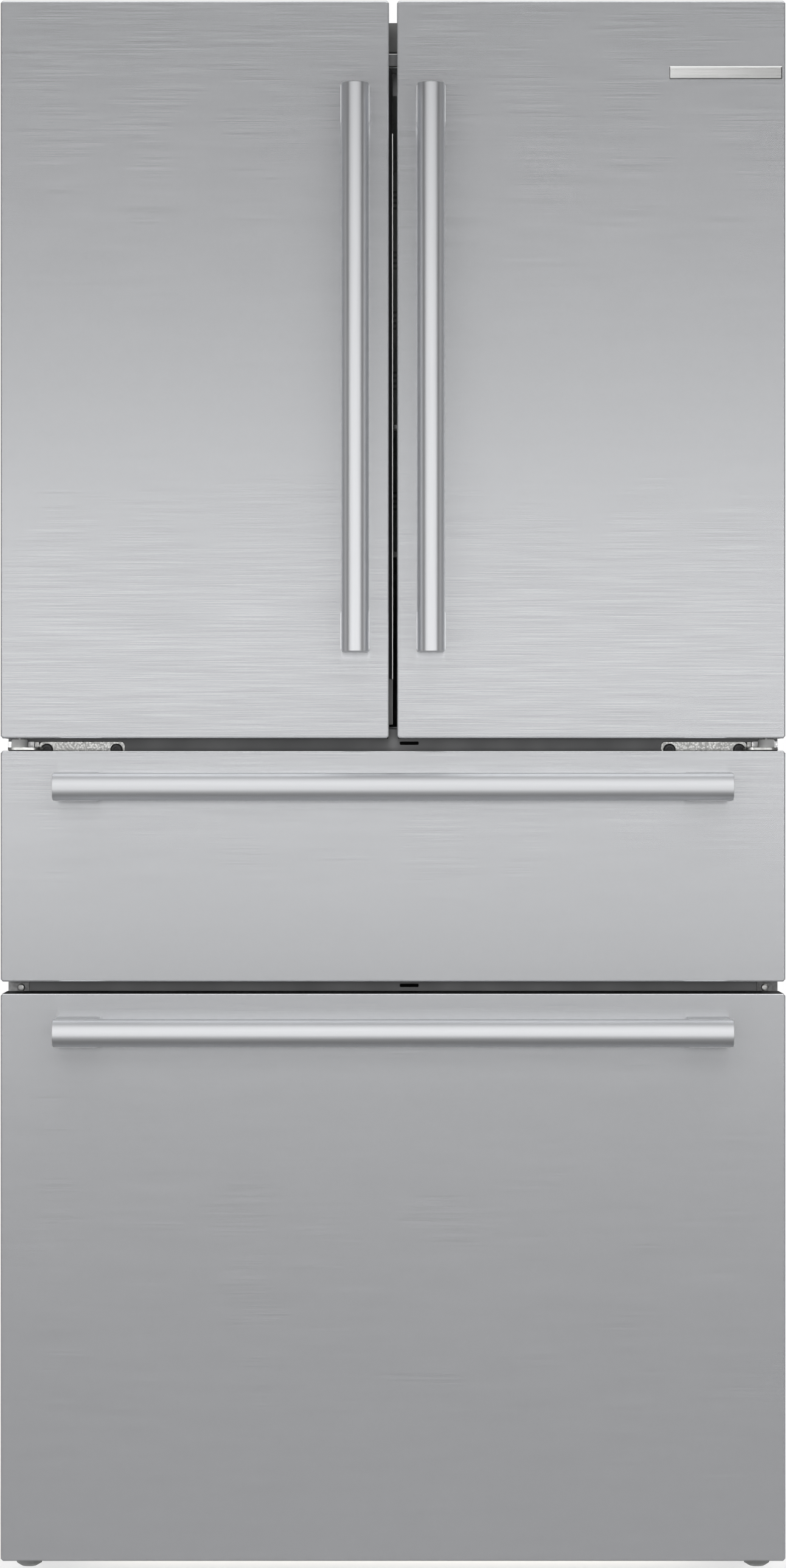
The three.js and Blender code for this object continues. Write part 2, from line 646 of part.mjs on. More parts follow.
const OUTER_ARM = SHELF.half - SHELF_ARM.inset - SHELF_ARM.thick;
const INNER_ARM = DUCT.half + SHELF_ARM.inset;
const leftArm = (x) => -x - SHELF_ARM.thick;
place('crisper_cover', glassShelf(-SHELF.half, SHELF.half, SHELF_Z.crisperCover, []), 'glass');
place('full_shelf', glassShelf(
  -SHELF.half, SHELF.half, SHELF_Z.full, [leftArm(OUTER_ARM), OUTER_ARM],
), 'glass');
place('left_half_shelf', glassShelf(
  -SHELF.half, -SHELF.middle, SHELF_Z.left, [leftArm(OUTER_ARM), leftArm(INNER_ARM)],
), 'glass');
place('right_half_shelf', glassShelf(
  SHELF.middle, SHELF.half, SHELF_Z.right, [INNER_ARM, OUTER_ARM],
), 'glass');
place('air_duct', block(-DUCT.half, DUCT.half, DUCT.front, REAR_WALL, DUCT.bottom, DUCT.top), 'liner');
place('left_crisper', crisper(-1), 'clear');
place('right_crisper', crisper(1), 'clear');

// ---------------------------------------------------------------- drawers
function drawerSkin(z0, z1) {
  return panelSkin(-HALF_WIDTH, HALF_WIDTH, z0, z1);
}

function drawerLiner(z0, z1) {
  return panelCore(-HALF_WIDTH, HALF_WIDTH, z0, z1);
}

function drawerGasket(heights) {
  const { width } = DRAWER_GASKET;
  return gasket([-GASKET_OUTER, GASKET_OUTER], heights, GASKET_WIDTH, width, width);
}

// One side channel of a slide, open towards the middle of the drawer.
function slideChannel(side, { web, lip, wall, height, front, back }, z) {
  const half = height / 2;
  const shape = outline([
    [side * lip, z - half], [side * web, z - half], [side * web, z + half], [side * lip, z + half],
    [side * lip, z + half - wall], [side * (web - wall), z + half - wall],
    [side * (web - wall), z - half + wall], [side * lip, z - half + wall],
  ]);
  return drawnBack(shape, front, back);
}

function runner(side, z) {
  const half = RUNNER.height / 2;
  return block(side * (BOX.half - OVER), side * RUNNER.outer, RUNNER.front, RUNNER.back, z - half, z + half);
}

function upperBox() {
  const body = block(-BOX.half, BOX.half, BOX.front, UPPER_BOX.back, UPPER_BOX.bottom, UPPER_BOX.top);
  return cut(join([body, runner(-1, UPPER_RAIL_Z), runner(1, UPPER_RAIL_Z)]), [boxHollow(UPPER_BOX)]);
}

function boxHollow({ bottom, top, back }) {
  const inner = BOX.half - BOX.wall;
  return block(-inner, inner, BOX.front + BOX.wall, back - BOX.wall, bottom + BOX.wall, top + OVER);
}

function freezerBox() {
  const { bottom, top, back, rim, rimFront } = FREEZER_BOX;
  const body = block(-BOX.half, BOX.half, BOX.front, back, bottom, top);
  const lip = block(-rim, rim, rimFront, back, top - BOX.wall, top);
  const parts = [body, lip, runner(-1, FREEZER_RAIL_Z), runner(1, FREEZER_RAIL_Z)];
  return cut(join(parts), [boxHollow(FREEZER_BOX)]);
}

function freezerTray() {
  const { half, base, bottom, top, front, back, wall } = TRAY;
  const floor = block(-base, base, front, back, bottom, bottom + wall);
  return join([tub(-half, half, front, back, bottom, top, wall), floor]);
}

place('upper_drawer_skin', drawerSkin(UPPER_BOTTOM, UPPER_TOP), 'stainless');
place('upper_drawer_liner', drawerLiner(UPPER_BOTTOM, UPPER_TOP), 'liner');
place('upper_drawer_gasket', drawerGasket(DRAWER_GASKET.upper), 'gasket');
place('upper_drawer_handle', levelHandle(DRAWER_HANDLE.upperZ), 'bar');
place('upper_drawer_box', upperBox(), 'clear');
place('freezer_drawer_skin', drawerSkin(FREEZER_BOTTOM, FREEZER_TOP), 'stainless');
place('freezer_drawer_liner', drawerLiner(FREEZER_BOTTOM, FREEZER_TOP), 'liner');
place('freezer_drawer_gasket', drawerGasket(DRAWER_GASKET.freezer), 'gasket');
place('freezer_drawer_handle', levelHandle(DRAWER_HANDLE.freezerZ), 'bar');
place('freezer_drawer_box', freezerBox(), 'clear');
place('freezer_tray', freezerTray(), 'clear');
for (const [name, side] of SIDES) {
  place(`upper_rail_${name}`, slideChannel(side, RAIL, UPPER_RAIL_Z), 'slide');
  place(`upper_slide_${name}`, slideChannel(side, MIDDLE_RAIL, UPPER_RAIL_Z), 'slide');
  place(`freezer_rail_${name}`, slideChannel(side, RAIL, FREEZER_RAIL_Z), 'slide');
  place(`freezer_slide_${name}`, slideChannel(side, MIDDLE_RAIL, FREEZER_RAIL_Z), 'slide');
}

export default fridge;
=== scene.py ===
import json
import math

import bmesh
import bpy
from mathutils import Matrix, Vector

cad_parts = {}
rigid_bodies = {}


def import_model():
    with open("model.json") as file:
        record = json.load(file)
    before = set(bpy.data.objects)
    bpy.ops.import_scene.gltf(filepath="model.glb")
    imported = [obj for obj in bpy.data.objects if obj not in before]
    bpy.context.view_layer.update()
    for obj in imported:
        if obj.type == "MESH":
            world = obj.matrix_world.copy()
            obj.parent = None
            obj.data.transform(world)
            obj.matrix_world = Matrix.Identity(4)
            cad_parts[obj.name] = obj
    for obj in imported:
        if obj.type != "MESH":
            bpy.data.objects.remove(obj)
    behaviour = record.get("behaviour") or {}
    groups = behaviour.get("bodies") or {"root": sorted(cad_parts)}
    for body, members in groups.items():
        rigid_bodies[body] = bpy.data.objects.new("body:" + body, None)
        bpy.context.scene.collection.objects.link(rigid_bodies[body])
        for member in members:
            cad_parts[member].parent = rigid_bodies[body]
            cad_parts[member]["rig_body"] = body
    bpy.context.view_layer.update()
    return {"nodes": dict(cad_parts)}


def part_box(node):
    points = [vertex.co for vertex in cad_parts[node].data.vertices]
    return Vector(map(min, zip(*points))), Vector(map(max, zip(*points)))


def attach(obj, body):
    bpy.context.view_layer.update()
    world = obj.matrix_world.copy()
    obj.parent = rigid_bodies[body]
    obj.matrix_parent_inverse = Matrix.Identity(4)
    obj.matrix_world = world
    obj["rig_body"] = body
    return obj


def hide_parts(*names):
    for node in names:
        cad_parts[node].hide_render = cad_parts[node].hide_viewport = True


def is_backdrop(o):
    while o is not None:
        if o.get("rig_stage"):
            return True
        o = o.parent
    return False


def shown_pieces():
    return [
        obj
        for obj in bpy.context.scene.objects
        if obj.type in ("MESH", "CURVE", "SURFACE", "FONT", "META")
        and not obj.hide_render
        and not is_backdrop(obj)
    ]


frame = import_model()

# The looks of a french door refrigerator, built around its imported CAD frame.
# Metres. +X right, -Y out of the front, +Z up.

MM = 0.001


def mm(*values):
    return tuple(value * MM for value in values)


SIDES = (("left", -1), ("right", 1))


# ---- places
PANELS = ("left_door", "right_door", "upper_drawer", "freezer_drawer")
SKIN = {panel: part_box(f"{panel}_skin") for panel in PANELS}
FACE_Y = SKIN["left_door"][0].y
SKIN_BACK = SKIN["left_door"][1].y
PANEL_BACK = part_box("upper_drawer_liner")[1].y
CASE_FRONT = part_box("front_frame")[0].y

PIN_X = 433.5 * MM
PIN_Y = -294 * MM

# The pocket in a door's top corner that the top hinge swings in.
RECESS_INNER = 396 * MM
RECESS_FRONT = -326 * MM
RECESS_FLOOR = 1794 * MM


# ---- mesh helpers
def rounded(a0, a1, b0, b1, radius, steps=5):
    """A rounded rectangle as (a, b) points, anticlockwise."""
    low_a, high_a = min(a0, a1), max(a0, a1)
    low_b, high_b = min(b0, b1), max(b0, b1)
    corners = (
        (high_a - radius, low_b + radius, -90),
        (high_a - radius, high_b - radius, 0),
        (low_a + radius, high_b - radius, 90),
        (low_a + radius, low_b + radius, 180),
    )
    points = []
    for a, b, start in corners:
        for step in range(steps + 1):
            angle = math.radians(start + 90 * step / steps)
            points.append((a + radius * math.cos(angle), b + radius * math.sin(angle)))
    return points


def circle(radius, steps):
    angles = [2 * math.pi * i / steps for i in range(steps)]
    return [(radius * math.cos(angle), radius * math.sin(angle)) for angle in angles]


def lift(points, axis, level, centre=(0.0, 0.0)):
    """Puts flat points on the plane across an axis, at a level on it."""
    a0, b0 = centre
    if axis == "x":
        return [(level, a + a0, b + b0) for a, b in points]
    if axis == "y":
        return [(a + a0, level, b + b0) for a, b in points]
    return [(a + a0, b + b0, level) for a, b in points]


def loft(bm, loops, closed=False):
    """Joins loops of equal length with quads. It has two end faces unless it closes on itself."""
    rings = [[bm.verts.new(point) for point in loop] for loop in loops]
    pairs = list(zip(rings, rings[1:]))
    if closed:
        pairs.append((rings[-1], rings[0]))
    for ring, following in pairs:
        count = len(ring)
        for i in range(count):
            j = (i + 1) % count
            bm.faces.new((ring[i], ring[j], following[j], following[i]))
    if not closed:
        bm.faces.new(list(reversed(rings[0])))
        bm.faces.new(rings[-1])


def arc(radius, steps=4):
    """(inset, rise) pairs of a quarter round from a flat face to a side wall."""
    pairs = []
    for step in range(steps + 1):
        angle = math.radians(90 * step / steps)
        pairs.append((radius * (1 - math.sin(angle)), radius * (1 - math.cos(angle))))
    return pairs


def split(low, high, axis):
    """The ranges of a box across an axis, and its range along the axis."""
    index = "xyz".index(axis)
    first, second = [i for i in range(3) if i != index]
    return [sorted((low[i], high[i])) for i in (first, second, index)]


def slab(bm, low, high, radius, edge, axis="z"):
    """A plate across an axis. The radii of its corners and of its edges are in millimetres."""
    (a0, a1), (b0, b1), (h0, h1) = split(low, high, axis)
    edge *= MM
    radius = max(radius * MM, edge + 0.01 * MM)
    rows = [(inset, h0 + rise) for inset, rise in arc(edge, 3)]
    rows += [(inset, h1 - rise) for inset, rise in reversed(arc(edge, 3))]
    loops = []
    for inset, level in rows:
        outline = rounded(a0 + inset, a1 - inset, b0 + inset, b1 - inset, radius - inset, 4)
        loops.append(lift(outline, axis, level))
    loft(bm, loops)


TUB_WALL = 3 * MM


def tub(bm, low, high, radius):
    """A box that is open at the top: outer wall, rim and inner wall."""
    (a0, a1), (b0, b1), (h0, h1) = split(low, high, "z")
    foot = min(radius * 0.6, (h1 - h0) * 0.3)
    rim = TUB_WALL * 0.3
    rows = [(inset, h0 + rise) for inset, rise in arc(foot)]
    rows += [(0.0, h1 - rim), (rim, h1), (TUB_WALL - rim, h1), (TUB_WALL, h1 - rim)]
    rows += [(TUB_WALL + inset, h0 + TUB_WALL + rise) for inset, rise in reversed(arc(foot))]
    loops = []
    for inset, level in rows:
        corner = max(radius - inset, 0.3 * MM)
        outline = rounded(a0 + inset, a1 - inset, b0 + inset, b1 - inset, corner)
        loops.append(lift(outline, "z", level))
    loft(bm, loops)


def lathe(bm, profile, axis, centre, steps=40):
    """Turns (radius, level) pairs round an axis; the first and last are closed with a flat face."""
    loft(bm, [lift(circle(radius, steps), axis, level, centre) for radius, level in profile])


def smooth_by_angle(bm, angle=38):
    bmesh.ops.recalc_face_normals(bm, faces=bm.faces)
    limit = math.radians(angle)
    for face in bm.faces:
        face.smooth = True
    for edge in bm.edges:
        edge.smooth = edge.calc_face_angle(0.0) < limit


def bevel_sharp(bm, width, angle=40):
    bmesh.ops.recalc_face_normals(bm, faces=bm.faces)
    sharp = [edge for edge in bm.edges if edge.calc_face_angle(0.0) > math.radians(angle)]
    bmesh.ops.bevel(
        bm, geom=sharp, offset=width, segments=2, profile=0.5, affect="EDGES", clamp_overlap=True
    )


def piece(name, bm, body, material, replaces=(), bevel=0.0):
    """Turns a bmesh into a named piece that rides on a body."""
    if bevel:
        bevel_sharp(bm, bevel)
    smooth_by_angle(bm)
    mesh = bpy.data.meshes.new(name)
    bm.to_mesh(mesh)
    bm.free()
    thing = bpy.data.objects.new(name, mesh)
    bpy.context.scene.collection.objects.link(thing)
    mesh.materials.append(material)
    shade = thing.modifiers.new("even_normals", "WEIGHTED_NORMAL")
    shade.keep_sharp = True
    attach(thing, body)
    if replaces:
        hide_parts(*replaces)
    return thing


def plate(name, low, high, shape, body, material, replaces=()):
    """A piece that is one slab. Its shape is the corner radius, the edge radius and the axis."""
    bm = bmesh.new()
    slab(bm, low, high, *shape)
    return piece(name, bm, body, material, replaces)


def refined(node, name, material, bevel):
    """A bevelled copy of a CAD node, which it replaces."""
    source = frame["nodes"][node]
    bm = bmesh.new()
    bm.from_mesh(source.data)
    bmesh.ops.remove_doubles(bm, verts=bm.verts, dist=0.001 * MM)
    bmesh.ops.dissolve_limit(bm, angle_limit=math.radians(0.5), verts=bm.verts, edges=bm.edges)
    return piece(name, bm, source["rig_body"], material, (node,), bevel)


# ---- materials
class Recipe:
    """A node material on one Principled shader."""

    def __init__(self, name, color, roughness, metallic=0.0):
        self.material = bpy.data.materials.new(name)
        self.material.use_nodes = True
        self.tree = self.material.node_tree
        self.shader = self.tree.nodes["Principled BSDF"]
        self.color = color
        self.roughness = roughness
        self.shader.inputs["Base Color"].default_value = (*color, 1)
        self.shader.inputs["Roughness"].default_value = roughness
        self.shader.inputs["Metallic"].default_value = metallic
        self.place = self.tree.nodes.new("ShaderNodeTexCoord")

    def noise(self, scale, stretch=(1, 1, 1), detail=3.0):
        mapping = self.tree.nodes.new("ShaderNodeMapping")
        mapping.inputs["Scale"].default_value = stretch
        noise = self.tree.nodes.new("ShaderNodeTexNoise")
        noise.inputs["Scale"].default_value = scale
        noise.inputs["Detail"].default_value = detail
        noise.inputs["Roughness"].default_value = 0.55
        self.tree.links.new(self.place.outputs["Object"], mapping.inputs["Vector"])
        self.tree.links.new(mapping.outputs["Vector"], noise.inputs["Vector"])
        return noise.outputs["Fac"]

    def spread(self, fac, low, high):
        """Stretches the middle of a noise over a range."""
        node = self.tree.nodes.new("ShaderNodeMapRange")
        node.inputs["From Min"].default_value = 0.3
        node.inputs["From Max"].default_value = 0.7
        node.inputs["To Min"].default_value = low
        node.inputs["To Max"].default_value = high
        self.tree.links.new(fac, node.inputs["Value"])
        return node.outputs["Result"]

    def tint(self, fac, low, high):
        """Base colour between two shades of the recipe's colour."""
        mix = self.tree.nodes.new("ShaderNodeMix")
        mix.data_type = "RGBA"
        mix.inputs["A"].default_value = (*[min(c * low, 1) for c in self.color], 1)
        mix.inputs["B"].default_value = (*[min(c * high, 1) for c in self.color], 1)
        self.tree.links.new(self.spread(fac, 0.0, 1.0), mix.inputs["Factor"])
        self.tree.links.new(mix.outputs["Result"], self.shader.inputs["Base Color"])

    def rough(self, fac, change):
        value = self.spread(fac, self.roughness - change, self.roughness + change)
        self.tree.links.new(value, self.shader.inputs["Roughness"])

    def bump(self, fac, depth, strength):
        node = self.tree.nodes.new("ShaderNodeBump")
        node.inputs["Strength"].default_value = strength
        node.inputs["Distance"].default_value = depth
        self.tree.links.new(fac, node.inputs["Height"])
        self.tree.links.new(node.outputs["Normal"], self.shader.inputs["Normal"])


def brushed(name, color, roughness, along, grain, metallic=1.0, spread_across=0.0):
    """Metal with fine scratches along one axis, and faint broad unevenness."""
    fine = [1400.0, 1400.0, 1400.0]
    streak = [170.0, 170.0, 170.0]
    index = "xyz".index(along)
    fine[index] = 9.0
    streak[index] = 2.2
    recipe = Recipe(name, color, roughness, metallic)
    if spread_across:
        # Light spreads across the scratches, and hardly along them.
        across = recipe.tree.nodes.new("ShaderNodeCombineXYZ")
        across.inputs["Y"].default_value = 0.3
        across.inputs["X" if along == "z" else "Z"].default_value = 1.0
        recipe.tree.links.new(across.outputs["Vector"], recipe.shader.inputs["Tangent"])
        recipe.shader.inputs["Anisotropic"].default_value = spread_across
    scratches = recipe.noise(1.0, fine, 2.0)
    recipe.tint(recipe.noise(1.0, streak), 1 - grain, 1 + grain)
    recipe.rough(scratches, 0.035)
    recipe.bump(scratches, 0.01 * MM, 0.02)
    return recipe.material


def moulded(name, color, roughness, texture=0.05 * MM, scale=900.0, vary=0.04, metallic=0.0):
    """Plastic, rubber or paint with a fine surface texture and slight shade changes."""
    recipe = Recipe(name, color, roughness, metallic)
    recipe.tint(recipe.noise(7.0), 1 - vary, 1 + vary)
    recipe.rough(recipe.noise(26.0), 0.05)
    recipe.bump(recipe.noise(scale, detail=2.0), texture, 0.4)
    return recipe.material


def zinc(name, color, roughness):
    """Zinc plating with small spangles and a soft cloudy stain."""
    recipe = Recipe(name, color, roughness, 1.0)
    cells = recipe.tree.nodes.new("ShaderNodeTexVoronoi")
    cells.inputs["Scale"].default_value = 420.0
    recipe.tree.links.new(recipe.place.outputs["Object"], cells.inputs["Vector"])
    recipe.tint(recipe.noise(60.0), 0.9, 1.06)
    recipe.rough(cells.outputs["Distance"], 0.06)
    recipe.bump(recipe.noise(700.0), 0.02 * MM, 0.4)
    return recipe.material


def see_through(name, color, roughness, weight, ior=1.49):
    """Clear plastic or glass, with slight haze."""
    recipe = Recipe(name, color, roughness)
    recipe.shader.inputs["Transmission Weight"].default_value = weight
    recipe.shader.inputs["IOR"].default_value = ior
    recipe.rough(recipe.noise(14.0), 0.03)
    recipe.bump(recipe.noise(40.0), 0.02 * MM, 0.3)
    return recipe.material


def lamp_lens():
    recipe = Recipe("lamp_lens", (0.95, 0.96, 0.97), 0.5)
    recipe.tint(recipe.noise(60.0), 0.98, 1.0)
    recipe.shader.inputs["Emission Color"].default_value = (1.0, 0.98, 0.95, 1)
    recipe.shader.inputs["Emission Strength"].default_value = 0.9
    return recipe.material


STEEL = brushed("stainless_brushed", (0.80, 0.81, 0.83), 0.20, "x", 0.006, 0.8, 0.9)
BAR_UPRIGHT = brushed("handle_brushed_upright", (0.90, 0.91, 0.93), 0.36, "z", 0.006)
BAR_LEVEL = brushed("handle_brushed_level", (0.90, 0.91, 0.93), 0.48, "x", 0.006)
PLATE = brushed("name_plate_brushed", (0.76, 0.76, 0.75), 0.3, "x", 0.004)
ZINC = zinc("hinge_zinc", (0.80, 0.80, 0.78), 0.46)
# A lighter copy of the hinge zinc: a painted highlight, standing in for light on the hinge flange.
ZINC_PAINTED_HIGHLIGHT = zinc("hinge_zinc_bright", (0.95, 0.95, 0.95), 0.38)
SHEET = zinc("galvanised_sheet", (0.66, 0.67, 0.67), 0.5)
CORNER = zinc("corner_plate_grey", (0.30, 0.30, 0.30), 0.55)
SLIDE = brushed("slide_steel", (0.66, 0.68, 0.70), 0.36, "y", 0.012)
SCREW = zinc("screw_steel", (0.55, 0.55, 0.54), 0.4)
BOLT = moulded("bolt_black", (0.13, 0.13, 0.132), 0.5, metallic=0.6)
CASE = moulded("case_paint", (0.105, 0.107, 0.110), 0.5, 0.12 * MM, 520.0, 0.05)
RAIL = moulded("rail_paint", (0.115, 0.117, 0.120), 0.55, 0.12 * MM, 520.0, 0.08)
CAP = moulded("end_cap_plastic", (0.022, 0.023, 0.025), 0.5)
COVER = moulded("cover_plastic", (0.105, 0.106, 0.104), 0.55)
MULLION = moulded("mullion_plastic", (0.045, 0.046, 0.048), 0.6)
BLACK = moulded("black_plastic", (0.012, 0.012, 0.013), 0.55)
SEAL = moulded("seal_vinyl", (0.045, 0.046, 0.048), 0.7, 0.03 * MM)
LINER = moulded("liner_white", (0.80, 0.81, 0.815), 0.38, 0.02 * MM, 300.0, 0.012)
TRIM = moulded("trim_light_grey", (0.52, 0.53, 0.54), 0.42)
BUSH = moulded("bush_nylon", (0.86, 0.86, 0.85), 0.45)
CLEAR = see_through("bin_clear", (0.93, 0.96, 0.97), 0.08, 0.88)
MILKY = moulded("drawer_milky", (0.74, 0.76, 0.77), 0.32, 0.02 * MM, 300.0, 0.015)
GLASS = see_through("shelf_glass", (0.88, 0.95, 0.93), 0.03, 0.95, 1.52)
FOOT = moulded("foot_grey", (0.26, 0.265, 0.26), 0.62)
ROLLER = moulded("roller_nylon", (0.03, 0.03, 0.032), 0.6)
MOTOR = moulded("compressor_paint", (0.010, 0.010, 0.011), 0.35, 0.08 * MM, 300.0)
FOAM = moulded("foam", (0.58, 0.55, 0.47), 0.95, 0.6 * MM, 160.0, 0.1)
LENS_GLOW = lamp_lens()


# ---- door and drawer faces
EDGE_ROUND = 2.0 * MM
CORNER_CUT = 2.6 * MM
CUT_SHRINK = 0.586  # about how much shorter a cut corner gets per unit of inset
SHEET_THICK = 1.2 * MM
LIP_DEPTH = 5 * MM
NOTCH_STEP = 0.2 * MM
CAP_THICK = 2.4 * MM


def face_outline(panel, inset, notch_side):
    """The panel's outline with cut corners. Each point says whether its wall runs deep to the back."""
    low, high = SKIN[panel]
    cut = CORNER_CUT - inset * CUT_SHRINK
    left, right = low.x + inset, high.x - inset
    bottom, top = low.z + inset, high.z - inset
    points = [(left + cut, bottom, False), (right - cut, bottom, False), (right, bottom + cut, True)]
    if notch_side > 0:
        points += [(right, RECESS_FLOOR - NOTCH_STEP, True), (right, RECESS_FLOOR, False)]
    points += [(right, top - cut, notch_side <= 0), (right - cut, top, False), (left + cut, top, False)]
    points += [(left, top - cut, notch_side >= 0)]
    if notch_side < 0:
        points += [(left, RECESS_FLOOR, False), (left, RECESS_FLOOR - NOTCH_STEP, True)]
    points += [(left, bottom + cut, True)]
    return points


def panel_face(panel, notch_side):
    """The folded stainless skin: deep at the sides, with a short lip at the top and bottom."""

    def ring(inset, y, returned=False):
        points = face_outline(panel, inset, notch_side)
        return [(x, SKIN_BACK if deep and returned else y, z) for x, z, deep in points]

    lip = FACE_Y + LIP_DEPTH
    loops = [ring(inset, FACE_Y + rise) for inset, rise in arc(EDGE_ROUND)]
    loops.append(ring(0.0, lip, True))
    loops.append(ring(SHEET_THICK, lip, True))
    loops.append(ring(SHEET_THICK, FACE_Y + EDGE_ROUND))
    loops.append(ring(EDGE_ROUND + SHEET_THICK, FACE_Y + SHEET_THICK))
    bm = bmesh.new()
    loft(bm, loops)
    piece(f"{panel}_face", bm, panel, STEEL, (f"{panel}_skin",))


def notched_cap(bm, xs, zs, front, notch_side):
    """A cap that is stepped round the top hinge's pocket."""
    x0, x1 = xs
    z0, z1 = zs
    inner = RECESS_INNER - 0.5 * MM
    if notch_side > 0:
        wide, narrow = (x0, inner), (inner + 0.1 * MM, x1)
    else:
        wide, narrow = (-inner, x1), (x0, -inner - 0.1 * MM)
    slab(bm, (wide[0], front, z0), (wide[1], PANEL_BACK, z1), 2, 0.5)
    slab(bm, (narrow[0], front, z0), (narrow[1], RECESS_FRONT, z1), 1.5, 0.5)


def end_caps(panel, notch_side):
    """Dark plastic caps that close the folded skin at the top and bottom."""
    low, high = SKIN[panel]
    inset = SHEET_THICK + 0.2 * MM
    front = FACE_Y + SHEET_THICK + 0.3 * MM
    back_off = 0.3 * MM
    xs = (low.x + inset, high.x - inset)
    heights = {
        "bottom": (low.z + back_off, low.z + CAP_THICK),
        "top": (high.z - CAP_THICK, high.z - back_off),
    }
    for where, (z0, z1) in heights.items():
        bm = bmesh.new()
        if where == "top" and notch_side:
            notched_cap(bm, xs, (z0, z1), front, notch_side)
        else:
            slab(bm, (xs[0], front, z0), (xs[1], PANEL_BACK, z1), 2, 0.5)
        piece(f"{panel}_{where}_cap", bm, panel, CAP)


SEAL_PROFILE = (  # (inset, depth) in millimetres: a base strip, a fold and a soft lip
    (0.0, 0.0), (0.3, 2.2), (2.4, 3.2), (1.0, 4.6), (1.0, 8.0), (0.0, 10.0), (0.3, 13.2), (1.2, 14.2),
    (8.5, 14.2), (10.2, 13.0), (10.4, 9.6), (9.2, 7.6), (9.6, 4.8), (8.0, 3.2), (9.8, 2.0), (9.8, 0.0),
)
SEAL_DEPTH = 14.4 * MM
SEAL_CORNER = 12 * MM


def seal(panel):
    """The seal that meets the case."""
    low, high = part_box(f"{panel}_gasket")
    scale = (high.y - low.y) / SEAL_DEPTH
    loops = []
    for inset, depth in SEAL_PROFILE:
        inset *= MM
        corner = SEAL_CORNER - inset * 0.8
        outline = rounded(low.x + inset, high.x - inset, low.z + inset, high.z - inset, corner)
        loops.append(lift(outline, "y", low.y + depth * MM * scale))
    bm = bmesh.new()
    loft(bm, loops, closed=True)
    piece(f"{panel}_seal", bm, panel, SEAL, (f"{panel}_gasket",))


# ---- handles
BAR_RADIUS = 15.75 * MM
BAR_END = ((3.2 * MM, 0.5 * MM), (1.2 * MM, 0.05 * MM), (0.45 * MM, 0.2 * MM), (0.0, 0.9 * MM))
POST_LENGTH = {"x": 52 * MM, "z": 47 * MM}
POST_CORNER = 3.5 * MM
POST_INSET = 0.6 * MM
SET_SCREW = 2.6 * MM


def handle(panel, axis, material):
    """A round bar with chamfered ends and two posts, with a set screw in each post."""
    node = f"{panel}_handle"
    low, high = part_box(node)
    index = "xyz".index(axis)
    across = 2 - index
    start, end = low[index], high[index]
    middle = (low[across] + high[across]) / 2
    half = (high[across] - low[across]) / 2
    bar_y = low.y + BAR_RADIUS
    bm = bmesh.new()
    profile = [(BAR_RADIUS - inset, start + along) for inset, along in BAR_END]
    profile += [(BAR_RADIUS - inset, end - along) for inset, along in reversed(BAR_END)]
    lathe(bm, profile, axis, (middle, bar_y) if axis == "z" else (bar_y, middle), 72)
    piece(f"{node}_bar", bm, panel, material, (node,))

    length = POST_LENGTH[axis]
    bm = bmesh.new()
    for a0, a1 in ((start + POST_INSET, start + length), (end - length, end - POST_INSET)):
        outline = rounded(middle - half, middle + half, a0, a1, POST_CORNER, 6)
        if axis == "x":
            outline = [(b, a) for a, b in reversed(outline)]
        loft(bm, [lift(outline, "y", y) for y in (bar_y, FACE_Y - 2.2 * MM, FACE_Y - 0.35 * MM)])
    piece(f"{node}_posts", bm, panel, material)

    bm = bmesh.new()
    if axis == "z":
        ends = (start + POST_INSET, end - POST_INSET)
        places = [(middle, z - 0.12 * MM, z + 0.12 * MM) for z in ends]
    else:
        z = middle - half
        places = [(x, z + 0.1 * MM, z - 0.05 * MM) for x in (start + length / 2, end - length / 2)]
    for x, z0, z1 in places:
        lathe(bm, [(SET_SCREW, z0), (SET_SCREW, z1)], "z", (x, bar_y + 24 * MM), 24)
    piece(f"{node}_set_screws", bm, panel, BLACK)


def name_plate():
    """The plate is left blank."""
    low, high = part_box("name_plate")
    bevel = 1.3 * MM
    rows = (
        (0.0, high.y), (0.0, high.y - 0.3 * MM),
        (bevel * 0.8, low.y + 0.15 * MM), (bevel, low.y),
    )
    loops = []
    for inset, y in rows:
        outline = rounded(low.x + inset, high.x - inset, low.z + inset, high.z - inset, 0.5 * MM, 3)
        loops.append(lift(outline, "y", y))
    bm = bmesh.new()
    loft(bm, loops)
    piece("plain_name_plate", bm, "right_door", PLATE, ("name_plate",))


# ---- door inner side
RIM_X = mm(62, 398)
RIM_Z = mm(1005, 1725)
RIM_WALL = 25 * MM
RIM_CORNER = 16 * MM
RIM_NOSE = 9 * MM
RIM_DRAFT = 3 * MM
BIN_LEDGE_Z = mm(1215, 1405, 1620)
BIN_LEDGE = Vector((3 * MM, 34 * MM, 7 * MM))


def door_block(panel, side):
    """The insulated block, narrower beside the top hinge's pocket."""
    low, high = SKIN[panel]
    x0, x1 = low.x + 1.6 * MM, high.x - 1.6 * MM
    z0, z1 = low.z + 2.6 * MM, high.z - 2.8 * MM
    front = FACE_Y + 2.2 * MM
    ledge = RECESS_FLOOR - 0.3 * MM
    inner = RECESS_INNER - 1 * MM
    if side > 0:
        upper, corner = (x0, inner), (inner, x1)
    else:
        upper, corner = (-inner, x1), (x0, -inner)
    bm = bmesh.new()
    slab(bm, (x0, front, z0), (x1, PANEL_BACK, ledge), 1.5, 0.8)
    slab(bm, (upper[0], front, ledge), (upper[1], PANEL_BACK, z1), 1.5, 0.5)
    slab(bm, (corner[0], front, ledge), (corner[1], RECESS_FRONT, z1), 1.2, 0.5)
    piece(f"{panel}_block", bm, panel, LINER, (f"{panel}_liner",))


